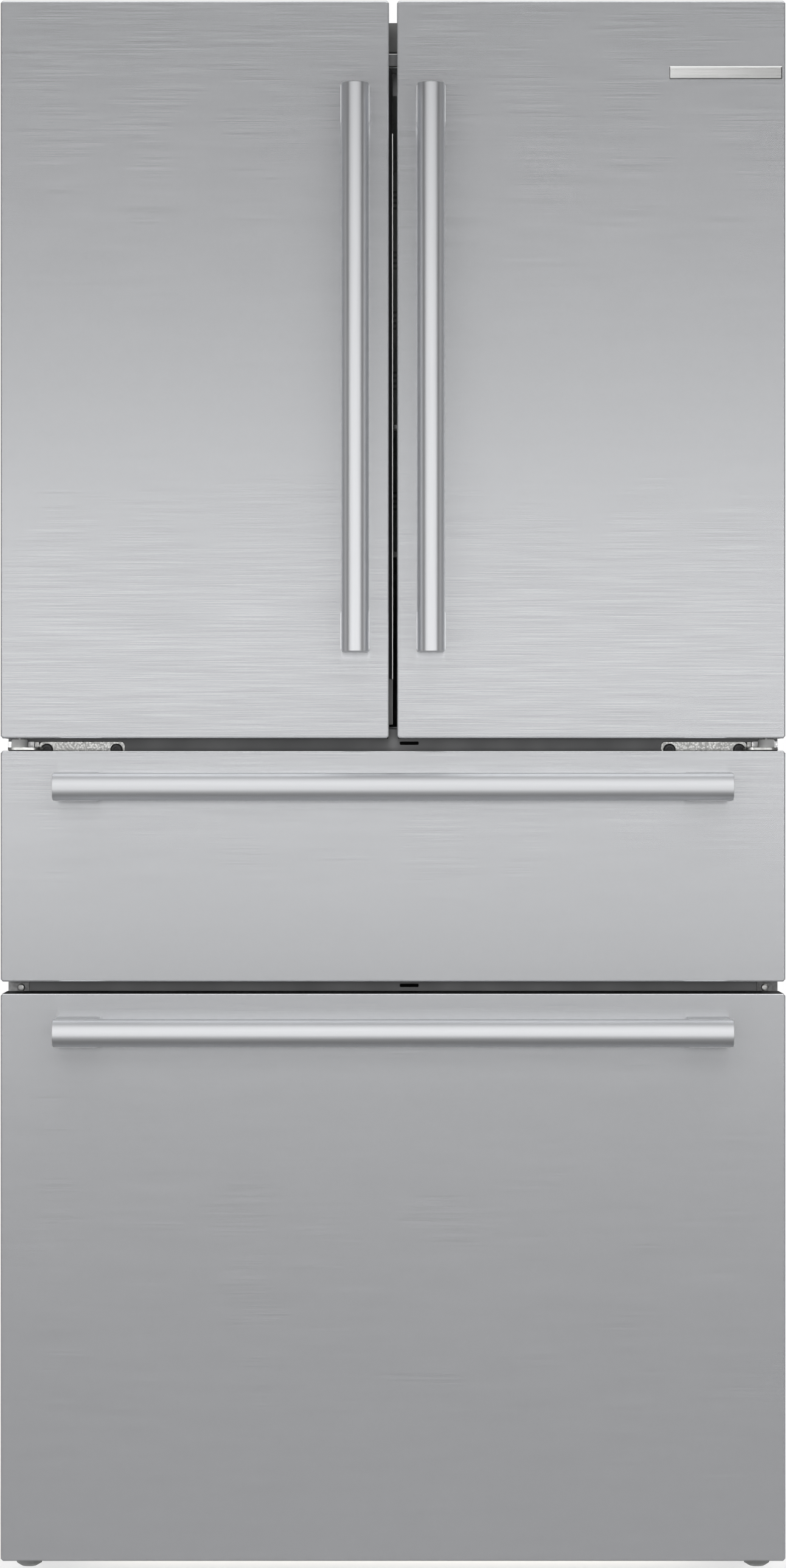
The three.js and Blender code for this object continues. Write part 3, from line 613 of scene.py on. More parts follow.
def door_rim(panel, side):
    """The moulded rim with a round nose, and the ledges that the bins hang on."""
    x0, x1 = sorted((side * RIM_X[0], side * RIM_X[1]))
    z0, z1 = RIM_Z
    base = PANEL_BACK - 0.5 * MM
    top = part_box(f"{panel}_liner")[1].y

    def ring(inset, y):
        corner = max(RIM_CORNER - inset, 2 * MM)
        return lift(rounded(x0 + inset, x1 - inset, z0 + inset, z1 - inset, corner), "y", y)

    loops = [ring(0.0, base), ring(0.2 * MM, base + 2 * MM)]
    loops += [ring(RIM_DRAFT + inset, top - rise) for inset, rise in reversed(arc(RIM_NOSE))]
    loops += [ring(RIM_WALL - RIM_DRAFT - inset, top - rise) for inset, rise in arc(RIM_NOSE)]
    loops.append(ring(RIM_WALL - 0.2 * MM, base + 3 * MM))
    loops.append(ring(RIM_WALL + 2 * MM, base + 1.2 * MM))
    bm = bmesh.new()
    loft(bm, loops)
    wall = RIM_WALL + 0.4 * MM
    for x, thick in ((x0 + wall, BIN_LEDGE.x), (x1 - wall, -BIN_LEDGE.x)):
        for z in BIN_LEDGE_Z:
            corner = (x, base + BIN_LEDGE.y, z + BIN_LEDGE.z)
            slab(bm, (x - thick, base, z), corner, 1, 0.8, "x")
    piece(f"{panel}_inner_rim", bm, panel, LINER)


NOTCH_SIDES = {"left_door": -1, "right_door": 1, "upper_drawer": 0, "freezer_drawer": 0}


def panels():
    for panel, notch_side in NOTCH_SIDES.items():
        panel_face(panel, notch_side)
        end_caps(panel, notch_side)
        seal(panel)
        if notch_side:
            handle(panel, "z", BAR_UPRIGHT)
        else:
            handle(panel, "x", BAR_LEVEL)
    for name, side in SIDES:
        door_block(f"{name}_door", side)
        door_rim(f"{name}_door", side)
    name_plate()


# ---- case
def case_shell():
    refined("outer_wrapper", "case_wrapper", CASE, 0.4 * MM)
    refined("front_frame", "case_front_frame", RAIL, 0.5 * MM)
    refined("machine_cover", "rear_machine_cover", BLACK, 0.3 * MM)
    foam = frame["nodes"]["cabinet_foam"].data.materials
    foam.clear()
    foam.append(FOAM)


def screw_head(bm, centre, radius, height, direction):
    """A pan head that stands out to the front or the back."""
    x, y, z = centre
    profile = [(radius, y)]
    for step in range(5):
        angle = math.radians(18 + 18 * step)
        reach = radius * (0.35 + 0.65 * max(math.cos(angle), 0.0) ** 0.5)
        profile.append((reach, y + direction * height * math.sin(angle)))
    lathe(bm, profile, "y", (x, z), 28)


BOLT_RADIUS = 6.2 * MM
BOLT_PROFILE = (  # (radius share, height in millimetres): flange, head and socket
    (1.18, 0.0), (1.18, 0.8), (1.0, 1.0), (1.0, 3.4), (0.9, 4.0), (0.5, 4.0), (0.45, 2.6),
)


def bolt(name, x, y, z):
    """A black bolt with a flange, seen end on in the door gap."""
    bm = bmesh.new()
    profile = [(BOLT_RADIUS * share, y - height * MM) for share, height in BOLT_PROFILE]
    lathe(bm, profile, "y", (x, z), 32)
    reach = BOLT_RADIUS * 0.95
    low = (x - reach, y - 4.15 * MM, z - 0.55 * MM)
    high = (x + reach, y - 3.9 * MM, z + 0.55 * MM)
    slab(bm, low, high, 0.3, 0.05, "y")
    piece(name, bm, "cabinet", BOLT)


# Middle hinges, as on the right side
HINGE_PLATE_X = mm(314, 415)
HINGE_PLATE_THICK = 3.7 * MM
HINGE_BEND_X = mm(414.6, 420)
HINGE_SHIM_X = mm(420.4, 450.8)
HINGE_SHIM_Z = 962 * MM
HINGE_TOP = 970.5 * MM  # top of the plate; the node's own top is the pin's
HINGE_ARM_X = mm(409, 447)
HINGE_ARM_Z = mm(959.7, 963)
HINGE_BOLTS = (("inner", 324 * MM), ("outer", 405.5 * MM))
HINGE_BOLT_Z = 960.6 * MM
BUSH_PROFILE = ((9.8, 963.1), (9.8, 970.5), (8.6, 972.3), (4.7, 972.3))
PIN_PROFILE = ((4.4, 960.2), (4.4, 988.0), (3.2, 989.8))


def scaled(profile):
    return [mm(*pair) for pair in profile]


def middle_hinge(name, side):
    """A plate on the case, an arm under the door with its bush and pin, and two bolts."""
    node = f"middle_hinge_{name}"
    low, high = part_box(node)
    back = high.y
    front = back - HINGE_PLATE_THICK

    x0, x1 = HINGE_PLATE_X
    start, end = (side * x0, front, low.z), (side * x1, back, HINGE_TOP - 0.2 * MM)
    plate(f"{node}_plate", start, end, (5, 0.6, "y"), "cabinet", ZINC, (node,))
    bm = bmesh.new()
    x0, x1 = HINGE_BEND_X
    start, end = (side * x0, front - 1.2 * MM, low.z + 2 * MM), (side * x1, back, HINGE_TOP - 0.3 * MM)
    slab(bm, start, end, 1, 0.6, "y")
    x0, x1 = sorted((side * HINGE_ARM_X[0], side * HINGE_ARM_X[1]))
    outline = rounded(x0, x1, PIN_Y - 12 * MM, front + 1 * MM, 9 * MM, 8)
    loft(bm, [lift(outline, "z", z) for z in HINGE_ARM_Z])
    piece(f"{node}_arm", bm, "cabinet", ZINC, (), 0.4 * MM)
    # The shim carries the lighter zinc copy: its brightness is a painted highlight. It reaches across the
    # case's dark edge.
    x0, x1 = HINGE_SHIM_X
    start, end = (side * x0, front + 0.8 * MM, HINGE_SHIM_Z), (side * x1, back, HINGE_TOP - 0.2 * MM)
    plate(f"{node}_shim", start, end, (1, 0.4, "y"), "cabinet", ZINC_PAINTED_HIGHLIGHT)

    centre = (side * PIN_X, PIN_Y)
    bm = bmesh.new()
    lathe(bm, scaled(BUSH_PROFILE), "z", centre)
    piece(f"{node}_bush", bm, "cabinet", BUSH)
    bm = bmesh.new()
    lathe(bm, scaled(PIN_PROFILE), "z", centre, 28)
    piece(f"{node}_pin", bm, "cabinet", SCREW)
    for label, x in HINGE_BOLTS:
        bolt(f"hinge_bolt_{name}_{label}", side * x, front, HINGE_BOLT_Z)


def top_hinges():
    for name, _ in SIDES:
        refined(f"top_hinge_{name}", f"top_hinge_{name}_bracket", ZINC, 0.6 * MM)
    refined("top_cover", "top_hinge_cover", COVER, 0.8 * MM)


# Small parts on the rails, seen in the gaps
CORNER_PLATE_X = mm(426.4, 450.6)
CORNER_PLATE_Z = mm(668, 702)
CORNER_PLATE_THICK = 1.6 * MM
CORNER_SCREW = mm(436, 682)
SWITCH_X = mm(8, 30)
SWITCH_Z = {"door": mm(966.4, 970.2), "drawer": mm(682.8, 686.5)}


def gap_details():
    """Corner plates with screws between the drawers, and the small sensor blocks."""
    front = CASE_FRONT - CORNER_PLATE_THICK
    z0, z1 = CORNER_PLATE_Z
    for name, side in SIDES:
        low = (side * CORNER_PLATE_X[0], front, z0)
        high = (side * CORNER_PLATE_X[1], CASE_FRONT - 0.1 * MM, z1)
        shape = (2, 0.4, "y")
        plate(f"drawer_corner_plate_{name}", low, high, shape, "cabinet", CORNER)
        bm = bmesh.new()
        x, z = CORNER_SCREW
        screw_head(bm, (side * x, front, z), 4.6 * MM, 2.2 * MM, -1)
        piece(f"drawer_corner_screw_{name}", bm, "cabinet", SCREW)
    for label, (z0, z1) in SWITCH_Z.items():
        low = (SWITCH_X[0], CASE_FRONT - 6 * MM, z0)
        high = (SWITCH_X[1], CASE_FRONT - 0.2 * MM, z1)
        shape = (1.2, 0.5, "y")
        plate(f"{label}_switch_block", low, high, shape, "cabinet", BLACK)


FOOT_STEPS = 72
FOOT_TREAD = 8.8 * MM  # radius of the flat underneath
FOOT_TURN = math.radians(4)
THREAD = {"start": 14.5 * MM, "pitch": 1.25 * MM, "rise": 0.6 * MM, "root": 4.1 * MM, "crest": 4.8 * MM}


def foot(name, side):
    """A hexagonal foot with the turned chamfer of a nut, on a threaded stem."""
    node = f"front_foot_{name}"
    low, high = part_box(node)
    centre = ((low.x + high.x) / 2, (low.y + high.y) / 2)
    radius = max(high.x - low.x, high.y - low.y) / 2
    flat = radius * math.cos(math.pi / 6)
    angles = [2 * math.pi * i / FOOT_STEPS for i in range(FOOT_STEPS)]

    def reach(angle):
        """The hexagon's radius in a direction."""
        local = (angle - FOOT_TURN * side) % (math.pi / 3) - math.pi / 6
        return min(flat / math.cos(local), radius - 0.05 * MM)

    def loop(radii, levels):
        x, y = centre
        return [
            (x + r * math.cos(a), y + r * math.sin(a), z)
            for a, r, z in zip(angles, radii, levels)
        ]

    full = [reach(angle) for angle in angles]
    bm = bmesh.new()
    loft(bm, [
        loop([FOOT_TREAD] * FOOT_STEPS, [0.02 * MM] * FOOT_STEPS),
        loop(full, [(r - FOOT_TREAD) * 0.55 + 0.3 * MM for r in full]),
        loop(full, [13.4 * MM] * FOOT_STEPS),
        loop([r - 0.8 * MM for r in full], [14 * MM] * FOOT_STEPS),
    ])
    profile = [(THREAD["crest"], 13.5 * MM)]
    z = THREAD["start"]
    while z < high.z - 1.5 * MM:
        profile += [(THREAD["root"], z), (THREAD["crest"], z + THREAD["rise"])]
        z += THREAD["pitch"]
    profile.append((4.0 * MM, high.z))
    lathe(bm, profile, "z", centre, 24)
    piece(f"{node}_detail", bm, f"foot_{name}", FOOT, (node,))


WHEEL_HALF = 9 * MM


def rear_wheel(name):
    """A roller with a hollowed web, on its axle."""
    node = f"rear_roller_{name}"
    low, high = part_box(node)
    centre = ((low.y + high.y) / 2, (low.z + high.z) / 2)
    middle = (low.x + high.x) / 2
    radius = (high.z - low.z) / 2
    side = middle - WHEEL_HALF
    web = side + 1.5 * MM
    profile = [
        (4 * MM, low.x), (4 * MM, side), (9 * MM, side), (9.5 * MM, web), (14 * MM, web),
        (14.5 * MM, side), (radius - 1 * MM, side), (radius, side + 1 * MM),
    ]
    profile += [(r, 2 * middle - x) for r, x in reversed(profile)]
    bm = bmesh.new()
    lathe(bm, profile, "x", centre, 48)
    piece(f"{node}_wheel", bm, f"roller_{name}", ROLLER, (node,))


# The folding centre post
STRIP_Z = mm(1043.7, 1683)
STRIP_WIDTH = 1.2 * MM
POST_END_TOP = 1043.5 * MM


def mullion():
    low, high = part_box("centre_mullion")
    parts = {
        "mullion_body": (
            (low.x, low.y + 0.6 * MM, low.z), high, (1, 0.6, "z"), MULLION,
        ),
        "mullion_bright_strip": (
            (high.x - 0.1 * MM, low.y, STRIP_Z[0]),
            (high.x - 0.1 * MM + STRIP_WIDTH, low.y + 0.9 * MM, STRIP_Z[1]),
            (0.3, 0.15, "y"), BUSH,
        ),
        "mullion_face": (
            (low.x + 6 * MM, low.y + 0.1 * MM, low.z + 8 * MM),
            (high.x - 8 * MM, low.y + 0.9 * MM, high.z - 8 * MM),
            (1, 0.2, "y"), CASE,
        ),
        "mullion_end": (
            (low.x + 0.4 * MM, low.y, low.z + 0.2 * MM),
            (high.x + 1.0 * MM, low.y + 1.4 * MM, POST_END_TOP),
            (1, 0.3, "y"), COVER,
        ),
    }
    for name, (start, end, shape, material) in parts.items():
        replaced = ("centre_mullion",) if name == "mullion_body" else ()
        plate(name, start, end, shape, "mullion", material, replaced)


def case():
    case_shell()
    for name, side in SIDES:
        middle_hinge(name, side)
    top_hinges()
    gap_details()
    for name, side in SIDES:
        foot(name, side)
    for name, _ in SIDES:
        rear_wheel(name)
    refined("base_frame", "base_steel_frame", SHEET, 0.4 * MM)
    mullion()


# ---- fresh food space
SHELVES = ("crisper_cover", "full_shelf", "left_half_shelf", "right_half_shelf")
SHELF_THICK = 8 * MM
SHELF_BACK = 310 * MM
SHELF_RIM = {"front": 14 * MM, "rear": 12 * MM, "side": 8 * MM}
ARM_X = {
    "full_shelf": mm(-395, 392), "left_half_shelf": mm(-395, -69), "right_half_shelf": mm(66, 392),
}
ARM_DROP = 42 * MM
ARM_FRONT = 60 * MM
ARM_THICK = 3 * MM
ARM_HOOK = 12 * MM


def liners():
    for node in ("middle_liner", "freezer_liner", "fresh_food_liner"):
        refined(node, f"{node}_shell", LINER, 1.4 * MM)


def shelf(node):
    """A glass pane in a white rim, with a bright strip along its front."""
    low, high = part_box(node)
    top = high.z
    base = top - SHELF_THICK
    start = (low.x + 5 * MM, low.y + 9 * MM, base + 2.6 * MM)
    end = (high.x - 5 * MM, SHELF_BACK - 8 * MM, top - 1.4 * MM)
    plate(f"{node}_pane", start, end, (3, 0.8), "cabinet", GLASS, (node,))
    bm = bmesh.new()
    slab(bm, (low.x, low.y, base), (high.x, low.y + SHELF_RIM["front"], top), 3, 1.6)
    slab(bm, (low.x, SHELF_BACK - SHELF_RIM["rear"], base), (high.x, SHELF_BACK, top), 2, 1)
    side = SHELF_RIM["side"]
    for x0, x1 in ((low.x, low.x + side), (high.x - side, high.x)):
        slab(bm, (x0, low.y + 10 * MM, base), (x1, SHELF_BACK - 8 * MM, top), 2, 1)
    piece(f"{node}_rim", bm, "cabinet", LINER)
    start = (low.x + 2 * MM, low.y - 0.5 * MM, base + 1.6 * MM)
    end = (high.x - 2 * MM, low.y + 0.4 * MM, top - 1.6 * MM)
    plate(f"{node}_front_trim", start, end, (1, 0.1, "y"), "cabinet", PLATE)


def shelf_arms():
    """Tapered brackets under the upper shelves."""
    for node, xs in ARM_X.items():
        _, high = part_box(node)
        back = high.y
        top = high.z - SHELF_THICK
        foot = top - ARM_DROP
        outline = [(ARM_FRONT, top), (back, top), (back, foot), (back - ARM_HOOK, foot)]
        bm = bmesh.new()
        for x in xs:
            loft(bm, [lift(outline, "x", x), lift(outline, "x", x + ARM_THICK)])
        piece(f"{node}_arms", bm, "cabinet", TRIM, (), 0.5 * MM)


SLOT_GROUPS = 6
SLOT_ROWS = 4
SLOT_FIRST = 60 * MM
SLOT_GROUP_STEP = 78 * MM
SLOT_ROW_STEP = 7 * MM
SLOT_HEIGHT = 3 * MM
SLOT_INSET = 22 * MM


def air_duct():
    low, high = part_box("air_duct")
    shape = (10, 4, "y")
    plate("rear_air_duct", low, high, shape, "cabinet", LINER, ("air_duct",))
    bm = bmesh.new()
    for level in range(SLOT_GROUPS):
        for row in range(SLOT_ROWS):
            z = low.z + SLOT_FIRST + level * SLOT_GROUP_STEP + row * SLOT_ROW_STEP
            start = (low.x + SLOT_INSET, low.y - 0.4 * MM, z)
            end = (high.x - SLOT_INSET, low.y + 0.5 * MM, z + SLOT_HEIGHT)
            slab(bm, start, end, 1.2, 0.2, "y")
    piece("air_duct_slots", bm, "cabinet", TRIM)


LENS_THICK = 1.6 * MM
LENS_EDGE = 0.6  # millimetres
LINER_WALL = 2.4 * MM
SIDE_LENS_Y = mm(-150, -136)
SIDE_LENS_Z = mm(1240, 1690)
CEILING_LENS_X = mm(120, 300)
CEILING_LENS_Y = mm(-110, -70)
CEILING_LENS_Z = 1731 * MM


def lamps():
    """Light bars in the side walls, and two ceiling lenses."""
    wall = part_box("fresh_food_liner")[1].x - LINER_WALL
    bm = bmesh.new()
    for _, side in SIDES:
        start = (side * (wall - LENS_THICK), SIDE_LENS_Y[0], SIDE_LENS_Z[0])
        slab(bm, start, (side * wall, SIDE_LENS_Y[1], SIDE_LENS_Z[1]), 5, LENS_EDGE, "x")
        start = (side * CEILING_LENS_X[0], CEILING_LENS_Y[0], CEILING_LENS_Z)
        end = (side * CEILING_LENS_X[1], CEILING_LENS_Y[1], CEILING_LENS_Z + LENS_THICK)
        slab(bm, start, end, 8, LENS_EDGE)
    piece("light_lenses", bm, "cabinet", LENS_GLOW)


def crisper(name):
    """A clear tub with a white front strip, a finger grip and a bright trim."""
    node = f"{name}_crisper"
    body = f"crisper_{name}"
    low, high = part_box(node)
    bm = bmesh.new()
    tub(bm, low, high, 14 * MM)
    piece(f"{node}_tub", bm, body, CLEAR, (node,))
    bm = bmesh.new()
    start = (low.x + 1 * MM, low.y - 1.4 * MM, high.z - 30 * MM)
    end = (high.x - 1 * MM, low.y - 0.1 * MM, high.z - 1 * MM)
    slab(bm, start, end, 4, 0.4, "y")
    start = (low.x + 70 * MM, low.y + 3.4 * MM, high.z - 26 * MM)
    end = (high.x - 70 * MM, low.y + 16 * MM, high.z - 22 * MM)
    slab(bm, start, end, 3, 1)
    piece(f"{node}_grip", bm, body, LINER)
    start = (low.x + 2 * MM, low.y - 1.8 * MM, high.z - 30 * MM)
    end = (high.x - 2 * MM, low.y - 1.2 * MM, high.z - 27.4 * MM)
    plate(f"{node}_trim", start, end, (0.8, 0.1, "y"), body, PLATE)


def door_bin(name, level):
    node = f"{name}_door_bin_{level}"
    low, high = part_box(node)
    bm = bmesh.new()
    tub(bm, low, high, 18 * MM)
    piece(f"{node}_tub", bm, f"{name}_door", CLEAR, (node,))
    start = (low.x + 12 * MM, high.y + 0.1 * MM, high.z - 12 * MM)
    end = (high.x - 12 * MM, high.y + 0.9 * MM, high.z - 3 * MM)
    plate(f"{node}_trim", start, end, (3, 0.3, "y"), f"{name}_door", PLATE)


def fresh_food_space():
    liners()
    for node in SHELVES:
        shelf(node)
    shelf_arms()
    air_duct()
    lamps()
    for name, _ in SIDES:
        crisper(name)
    for name, _ in SIDES:
        for level in ("lower", "upper"):
            door_bin(name, level)


# ---- drawers
BOX_HALF = 370 * MM
BOXES = {  # top, back and corner radius
    "upper_drawer": mm(905, 240, 16),
    "freezer_drawer": mm(545, 125, 24),
}
RUNNER_Z = {"upper_drawer": 812 * MM, "freezer_drawer": 492 * MM}
RUNNER_X = mm(370.4, 396)
RUNNER_Y = mm(-238, 240)
RUNNER_HALF = 15.5 * MM
FREEZER_RIM_X = mm(366, 384)
FREEZER_RIM_Z = mm(542, 545)
TRAY_HALF = 360 * MM
TRAY_LIP_X = mm(358, 384)
TRAY_LIP_THICK = 3 * MM


def drawer_block(panel):
    """The insulated block of a drawer front."""
    low, high = SKIN[panel]
    start = (low.x + 1.6 * MM, FACE_Y + 2.2 * MM, low.z + 2.6 * MM)
    end = (high.x - 1.6 * MM, PANEL_BACK, high.z - 2.8 * MM)
    replaced = (f"{panel}_liner",)
    plate(f"{panel}_block", start, end, (1.5, 0.8), panel, LINER, replaced)


def drawer_box(panel):
    """The storage box of a drawer."""
    node = f"{panel}_box"
    low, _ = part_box(node)
    top, back, corner = BOXES[panel]
    bm = bmesh.new()
    tub(bm, (-BOX_HALF, low.y, low.z), (BOX_HALF, back, top), corner)
    piece(f"{node}_tub", bm, panel, MILKY, (node,))


def runners(panel):
    """The slide members that are fixed to the sides of a drawer's box."""
    z = RUNNER_Z[panel]
    for name, side in SIDES:
        start = (side * RUNNER_X[0], RUNNER_Y[0], z - RUNNER_HALF)
        end = (side * RUNNER_X[1], RUNNER_Y[1], z + RUNNER_HALF)
        shape = (1.5, 1, "y")
        plate(f"{panel}_box_runner_{name}", start, end, shape, panel, SLIDE)


def freezer_fittings():
    """The rims that carry the tray, and the tray with its side lips."""
    low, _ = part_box("freezer_drawer_box")
    back = BOXES["freezer_drawer"][1]
    bm = bmesh.new()
    for _, side in SIDES:
        start = (side * FREEZER_RIM_X[0], low.y + 8 * MM, FREEZER_RIM_Z[0])
        slab(bm, start, (side * FREEZER_RIM_X[1], back, FREEZER_RIM_Z[1]), 1, 0.8)
    piece("freezer_box_rim", bm, "freezer_drawer", TRIM)
    low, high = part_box("freezer_tray")
    bm = bmesh.new()
    tub(bm, (-TRAY_HALF, low.y, low.z), (TRAY_HALF, high.y, high.z), 14 * MM)
    for _, side in SIDES:
        start = (side * TRAY_LIP_X[0], low.y + 1 * MM, low.z)
        end = (side * TRAY_LIP_X[1], high.y - 1 * MM, low.z + TRAY_LIP_THICK)
        slab(bm, start, end, 1, 0.8)
    piece("freezer_tray_tub", bm, "tray", MILKY, ("freezer_tray",))


def drawers():
    for build in (drawer_block, drawer_box, runners):
        for panel in BOXES:
            build(panel)
    freezer_fittings()
    for name, _ in SIDES:
        for drawer in ("upper", "freezer"):
            for part in ("rail", "slide"):
                refined(f"{drawer}_{part}_{name}", f"{drawer}_{part}_{name}_steel", SLIDE, 0.35 * MM)


# ---- machine compartment and back
SHELL_SHARE = 0.97
SEAM_SHARE = 0.999
SEAM_Z = mm(62, 62.5, 67.5, 68)
BLADES = 6
BLADE_STEPS = 6
BLADE_THICK = 1.2 * MM
CHORD_STOPS = (-1, -0.4, 0.3, 1)


def compressor():
    """A domed shell with a welded seam round its middle."""
    low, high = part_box("compressor")
    centre = ((low.x + high.x) / 2, (low.y + high.y) / 2)
    radius = (high.x - low.x) / 2
    shell = radius * SHELL_SHARE
    profile = [(radius * 0.75, low.z)]
    for step in range(6):
        angle = math.radians(18 * step - 90)
        reach = radius * (0.8 + 0.17 * math.cos(angle))
        profile.append((reach, low.z + 26 * MM + 24 * MM * math.sin(angle)))
    for share, rise in zip((SHELL_SHARE, SEAM_SHARE, SEAM_SHARE, SHELL_SHARE), SEAM_Z):
        profile.append((radius * share, low.z + rise))
    for step in range(10):
        angle = math.radians(10 * step)
        reach = max(shell * math.cos(angle), 4 * MM)
        profile.append((reach, low.z + 84 * MM + 70 * MM * math.sin(angle)))
    bm = bmesh.new()
    lathe(bm, profile, "z", centre, 56)
    piece("compressor_shell", bm, "cabinet", MOTOR, ("compressor",))


def blade_rows(middle):
    """(x, across, reach) points of a blade from root to tip. Its pitch falls outwards."""
    rows = []
    for step in range(BLADE_STEPS + 1):
        share = step / BLADE_STEPS
        reach = (16 + 47 * share) * MM
        chord = (11 + 7 * share) * MM
        pitch = 1.05 - 0.25 * share
        row = []
        for stop in CHORD_STOPS:
            x = middle - stop * chord * math.cos(pitch) * 0.8
            across = stop * chord * math.sin(pitch) + 5 * MM * share
            row.append((x, across, reach))
        rows.append(row)
    return rows


def blade_side(bm, rows, turn, centre, offset):
    """One side of a blade, turned round the fan's axis."""
    grid = []
    for row in rows:
        line = []
        for x, across, reach in row:
            y = centre.y + across * math.cos(turn) - reach * math.sin(turn)
            z = centre.z + across * math.sin(turn) + reach * math.cos(turn)
            line.append(bm.verts.new((x + offset, y, z)))
        grid.append(line)
    return grid


def close_blade(bm, front, rear):
    """The faces of a blade's two sides, and the strips round its edge."""
    last_row = len(front) - 1
    last_col = len(front[0]) - 1
    for i in range(last_row):
        for j in range(last_col):
            bm.faces.new((front[i][j], front[i][j + 1], front[i + 1][j + 1], front[i + 1][j]))
            bm.faces.new((rear[i + 1][j], rear[i + 1][j + 1], rear[i][j + 1], rear[i][j]))
        bm.faces.new((front[i][0], front[i + 1][0], rear[i + 1][0], rear[i][0]))
        bm.faces.new((rear[i][last_col], rear[i + 1][last_col], front[i + 1][last_col], front[i][last_col]))
    for j in range(last_col):
        bm.faces.new((front[0][j + 1], front[0][j], rear[0][j], rear[0][j + 1]))
        bm.faces.new((front[last_row][j], front[last_row][j + 1], rear[last_row][j + 1], rear[last_row][j]))


def fan():
    """A hub with six pitched blades."""
    low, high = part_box("condenser_fan")
    centre = (low + high) / 2
    bm = bmesh.new()
    hub = [(17 * MM, low.x), (19 * MM, low.x + 2 * MM), (19 * MM, high.x)]
    lathe(bm, hub, "x", (centre.y, centre.z), 40)
    rows = blade_rows(centre.x)
    for blade in range(BLADES):
        turn = 2 * math.pi * blade / BLADES
        front = blade_side(bm, rows, turn, centre, 0.0)
        rear = blade_side(bm, rows, turn, centre, BLADE_THICK)
        close_blade(bm, front, rear)
    piece("condenser_fan_wheel", bm, "fan", BLACK, ("condenser_fan",))


REAR_BEADS = mm(-330, -110, 110, 330)
REAR_SCREWS_X = mm(-440, -220, 0, 220, 440)
REAR_SCREWS_Z = mm(236, 750, 1260, 1766)
REAR_RELIEF = 0.5 * MM
BEAD_HALF = 7 * MM
BEAD_END = 90 * MM


def rear_panel():
    """The sheet on the back, with long pressed beads and screw heads in its last half millimetre."""
    low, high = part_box("rear_panel")
    face = high.y - REAR_RELIEF
    root = face - 0.1 * MM
    bm = bmesh.new()
    slab(bm, low, (high.x, face, high.z), 2, 0.2, "y")
    for x in REAR_BEADS:
        start = (x - BEAD_HALF, root, low.z + BEAD_END)
        slab(bm, start, (x + BEAD_HALF, high.y, high.z - BEAD_END), 6.5, 0.4, "y")
    piece("case_rear_panel", bm, "cabinet", SHEET, ("rear_panel",))
    bm = bmesh.new()
    for x in REAR_SCREWS_X:
        for z in REAR_SCREWS_Z:
            screw_head(bm, (x, root, z), 4.5 * MM, REAR_RELIEF, 1)
    piece("rear_screws", bm, "cabinet", SCREW)


# ---- camera and stage
VIEW_DISTANCE = 5.2
EYE_HEIGHT = 0.9205
LENS = 103.6
FLOOR_HALF = 14
FLOOR_DROP = 0.2 * MM


def camera():
    data = bpy.data.cameras.new("camera")
    data.sensor_width = 36
    data.lens = LENS
    data.clip_end = 100
    eye = bpy.data.objects.new("camera", data)
    eye.location = (0, FACE_Y - VIEW_DISTANCE, EYE_HEIGHT)
    eye.rotation_euler = (math.radians(90), 0, 0)
    bpy.context.scene.collection.objects.link(eye)
    bpy.context.scene.camera = eye


def floor():
    bm = bmesh.new()
    corners = ((-1, -1), (1, -1), (1, 1), (-1, 1))
    bm.faces.new([bm.verts.new((x * FLOOR_HALF, y * FLOOR_HALF, -FLOOR_DROP)) for x, y in corners])
    mesh = bpy.data.meshes.new("floor")
    bm.to_mesh(mesh)
    bm.free()
    ground = bpy.data.objects.new("floor", mesh)
    bpy.context.scene.collection.objects.link(ground)
    recipe = Recipe("floor_pale", (0.93, 0.93, 0.935), 0.85)
    recipe.tint(recipe.noise(1.3), 0.995, 1.005)
    mesh.materials.append(recipe.material)
    ground.visible_glossy = False
    ground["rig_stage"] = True
    return ground


WORLD_STOPS = (  # (place from straight down to straight up, grey)
    (0.0, 0.12), (0.26, 0.17), (0.31, 0.38), (0.37, 0.34), (0.43, 0.13),
    (0.5, 0.10), (0.56, 0.04), (0.64, 0.05), (0.75, 0.30), (1.0, 0.30),
)
BLUE_SHARE = 1.01


def world():
    """Grey surroundings in bands by height, and a white backdrop for the camera only."""
    scene_world = bpy.data.worlds.new("studio")
    bpy.context.scene.world = scene_world
    scene_world.use_nodes = True
    tree = scene_world.node_tree
    direction = tree.nodes.new("ShaderNodeTexCoord")
    split_up = tree.nodes.new("ShaderNodeSeparateXYZ")
    ramp = tree.nodes.new("ShaderNodeValToRGB")
    scale = tree.nodes.new("ShaderNodeMapRange")
    scale.inputs["From Min"].default_value = -1
    scale.inputs["From Max"].default_value = 1
    elements = ramp.color_ramp.elements
    elements.remove(elements[1])
    elements[0].position = WORLD_STOPS[0][0]
    elements[0].color = (WORLD_STOPS[0][1],) * 3 + (1,)
    for position, grey in WORLD_STOPS[1:]:
        elements.new(position).color = (grey, grey, grey * BLUE_SHARE, 1)
    seen = tree.nodes.new("ShaderNodeLightPath")
    mix = tree.nodes.new("ShaderNodeMix")
    mix.data_type = "RGBA"
    mix.inputs["B"].default_value = (1, 1, 1, 1)
    links = tree.links
    links.new(direction.outputs["Generated"], split_up.inputs["Vector"])
    links.new(split_up.outputs["Z"], scale.inputs["Value"])
    links.new(scale.outputs["Result"], ramp.inputs["Fac"])
    links.new(ramp.outputs["Color"], mix.inputs["A"])
    links.new(seen.outputs["Is Camera Ray"], mix.inputs["Factor"])
    links.new(mix.outputs["Result"], tree.nodes["Background"].inputs["Color"])


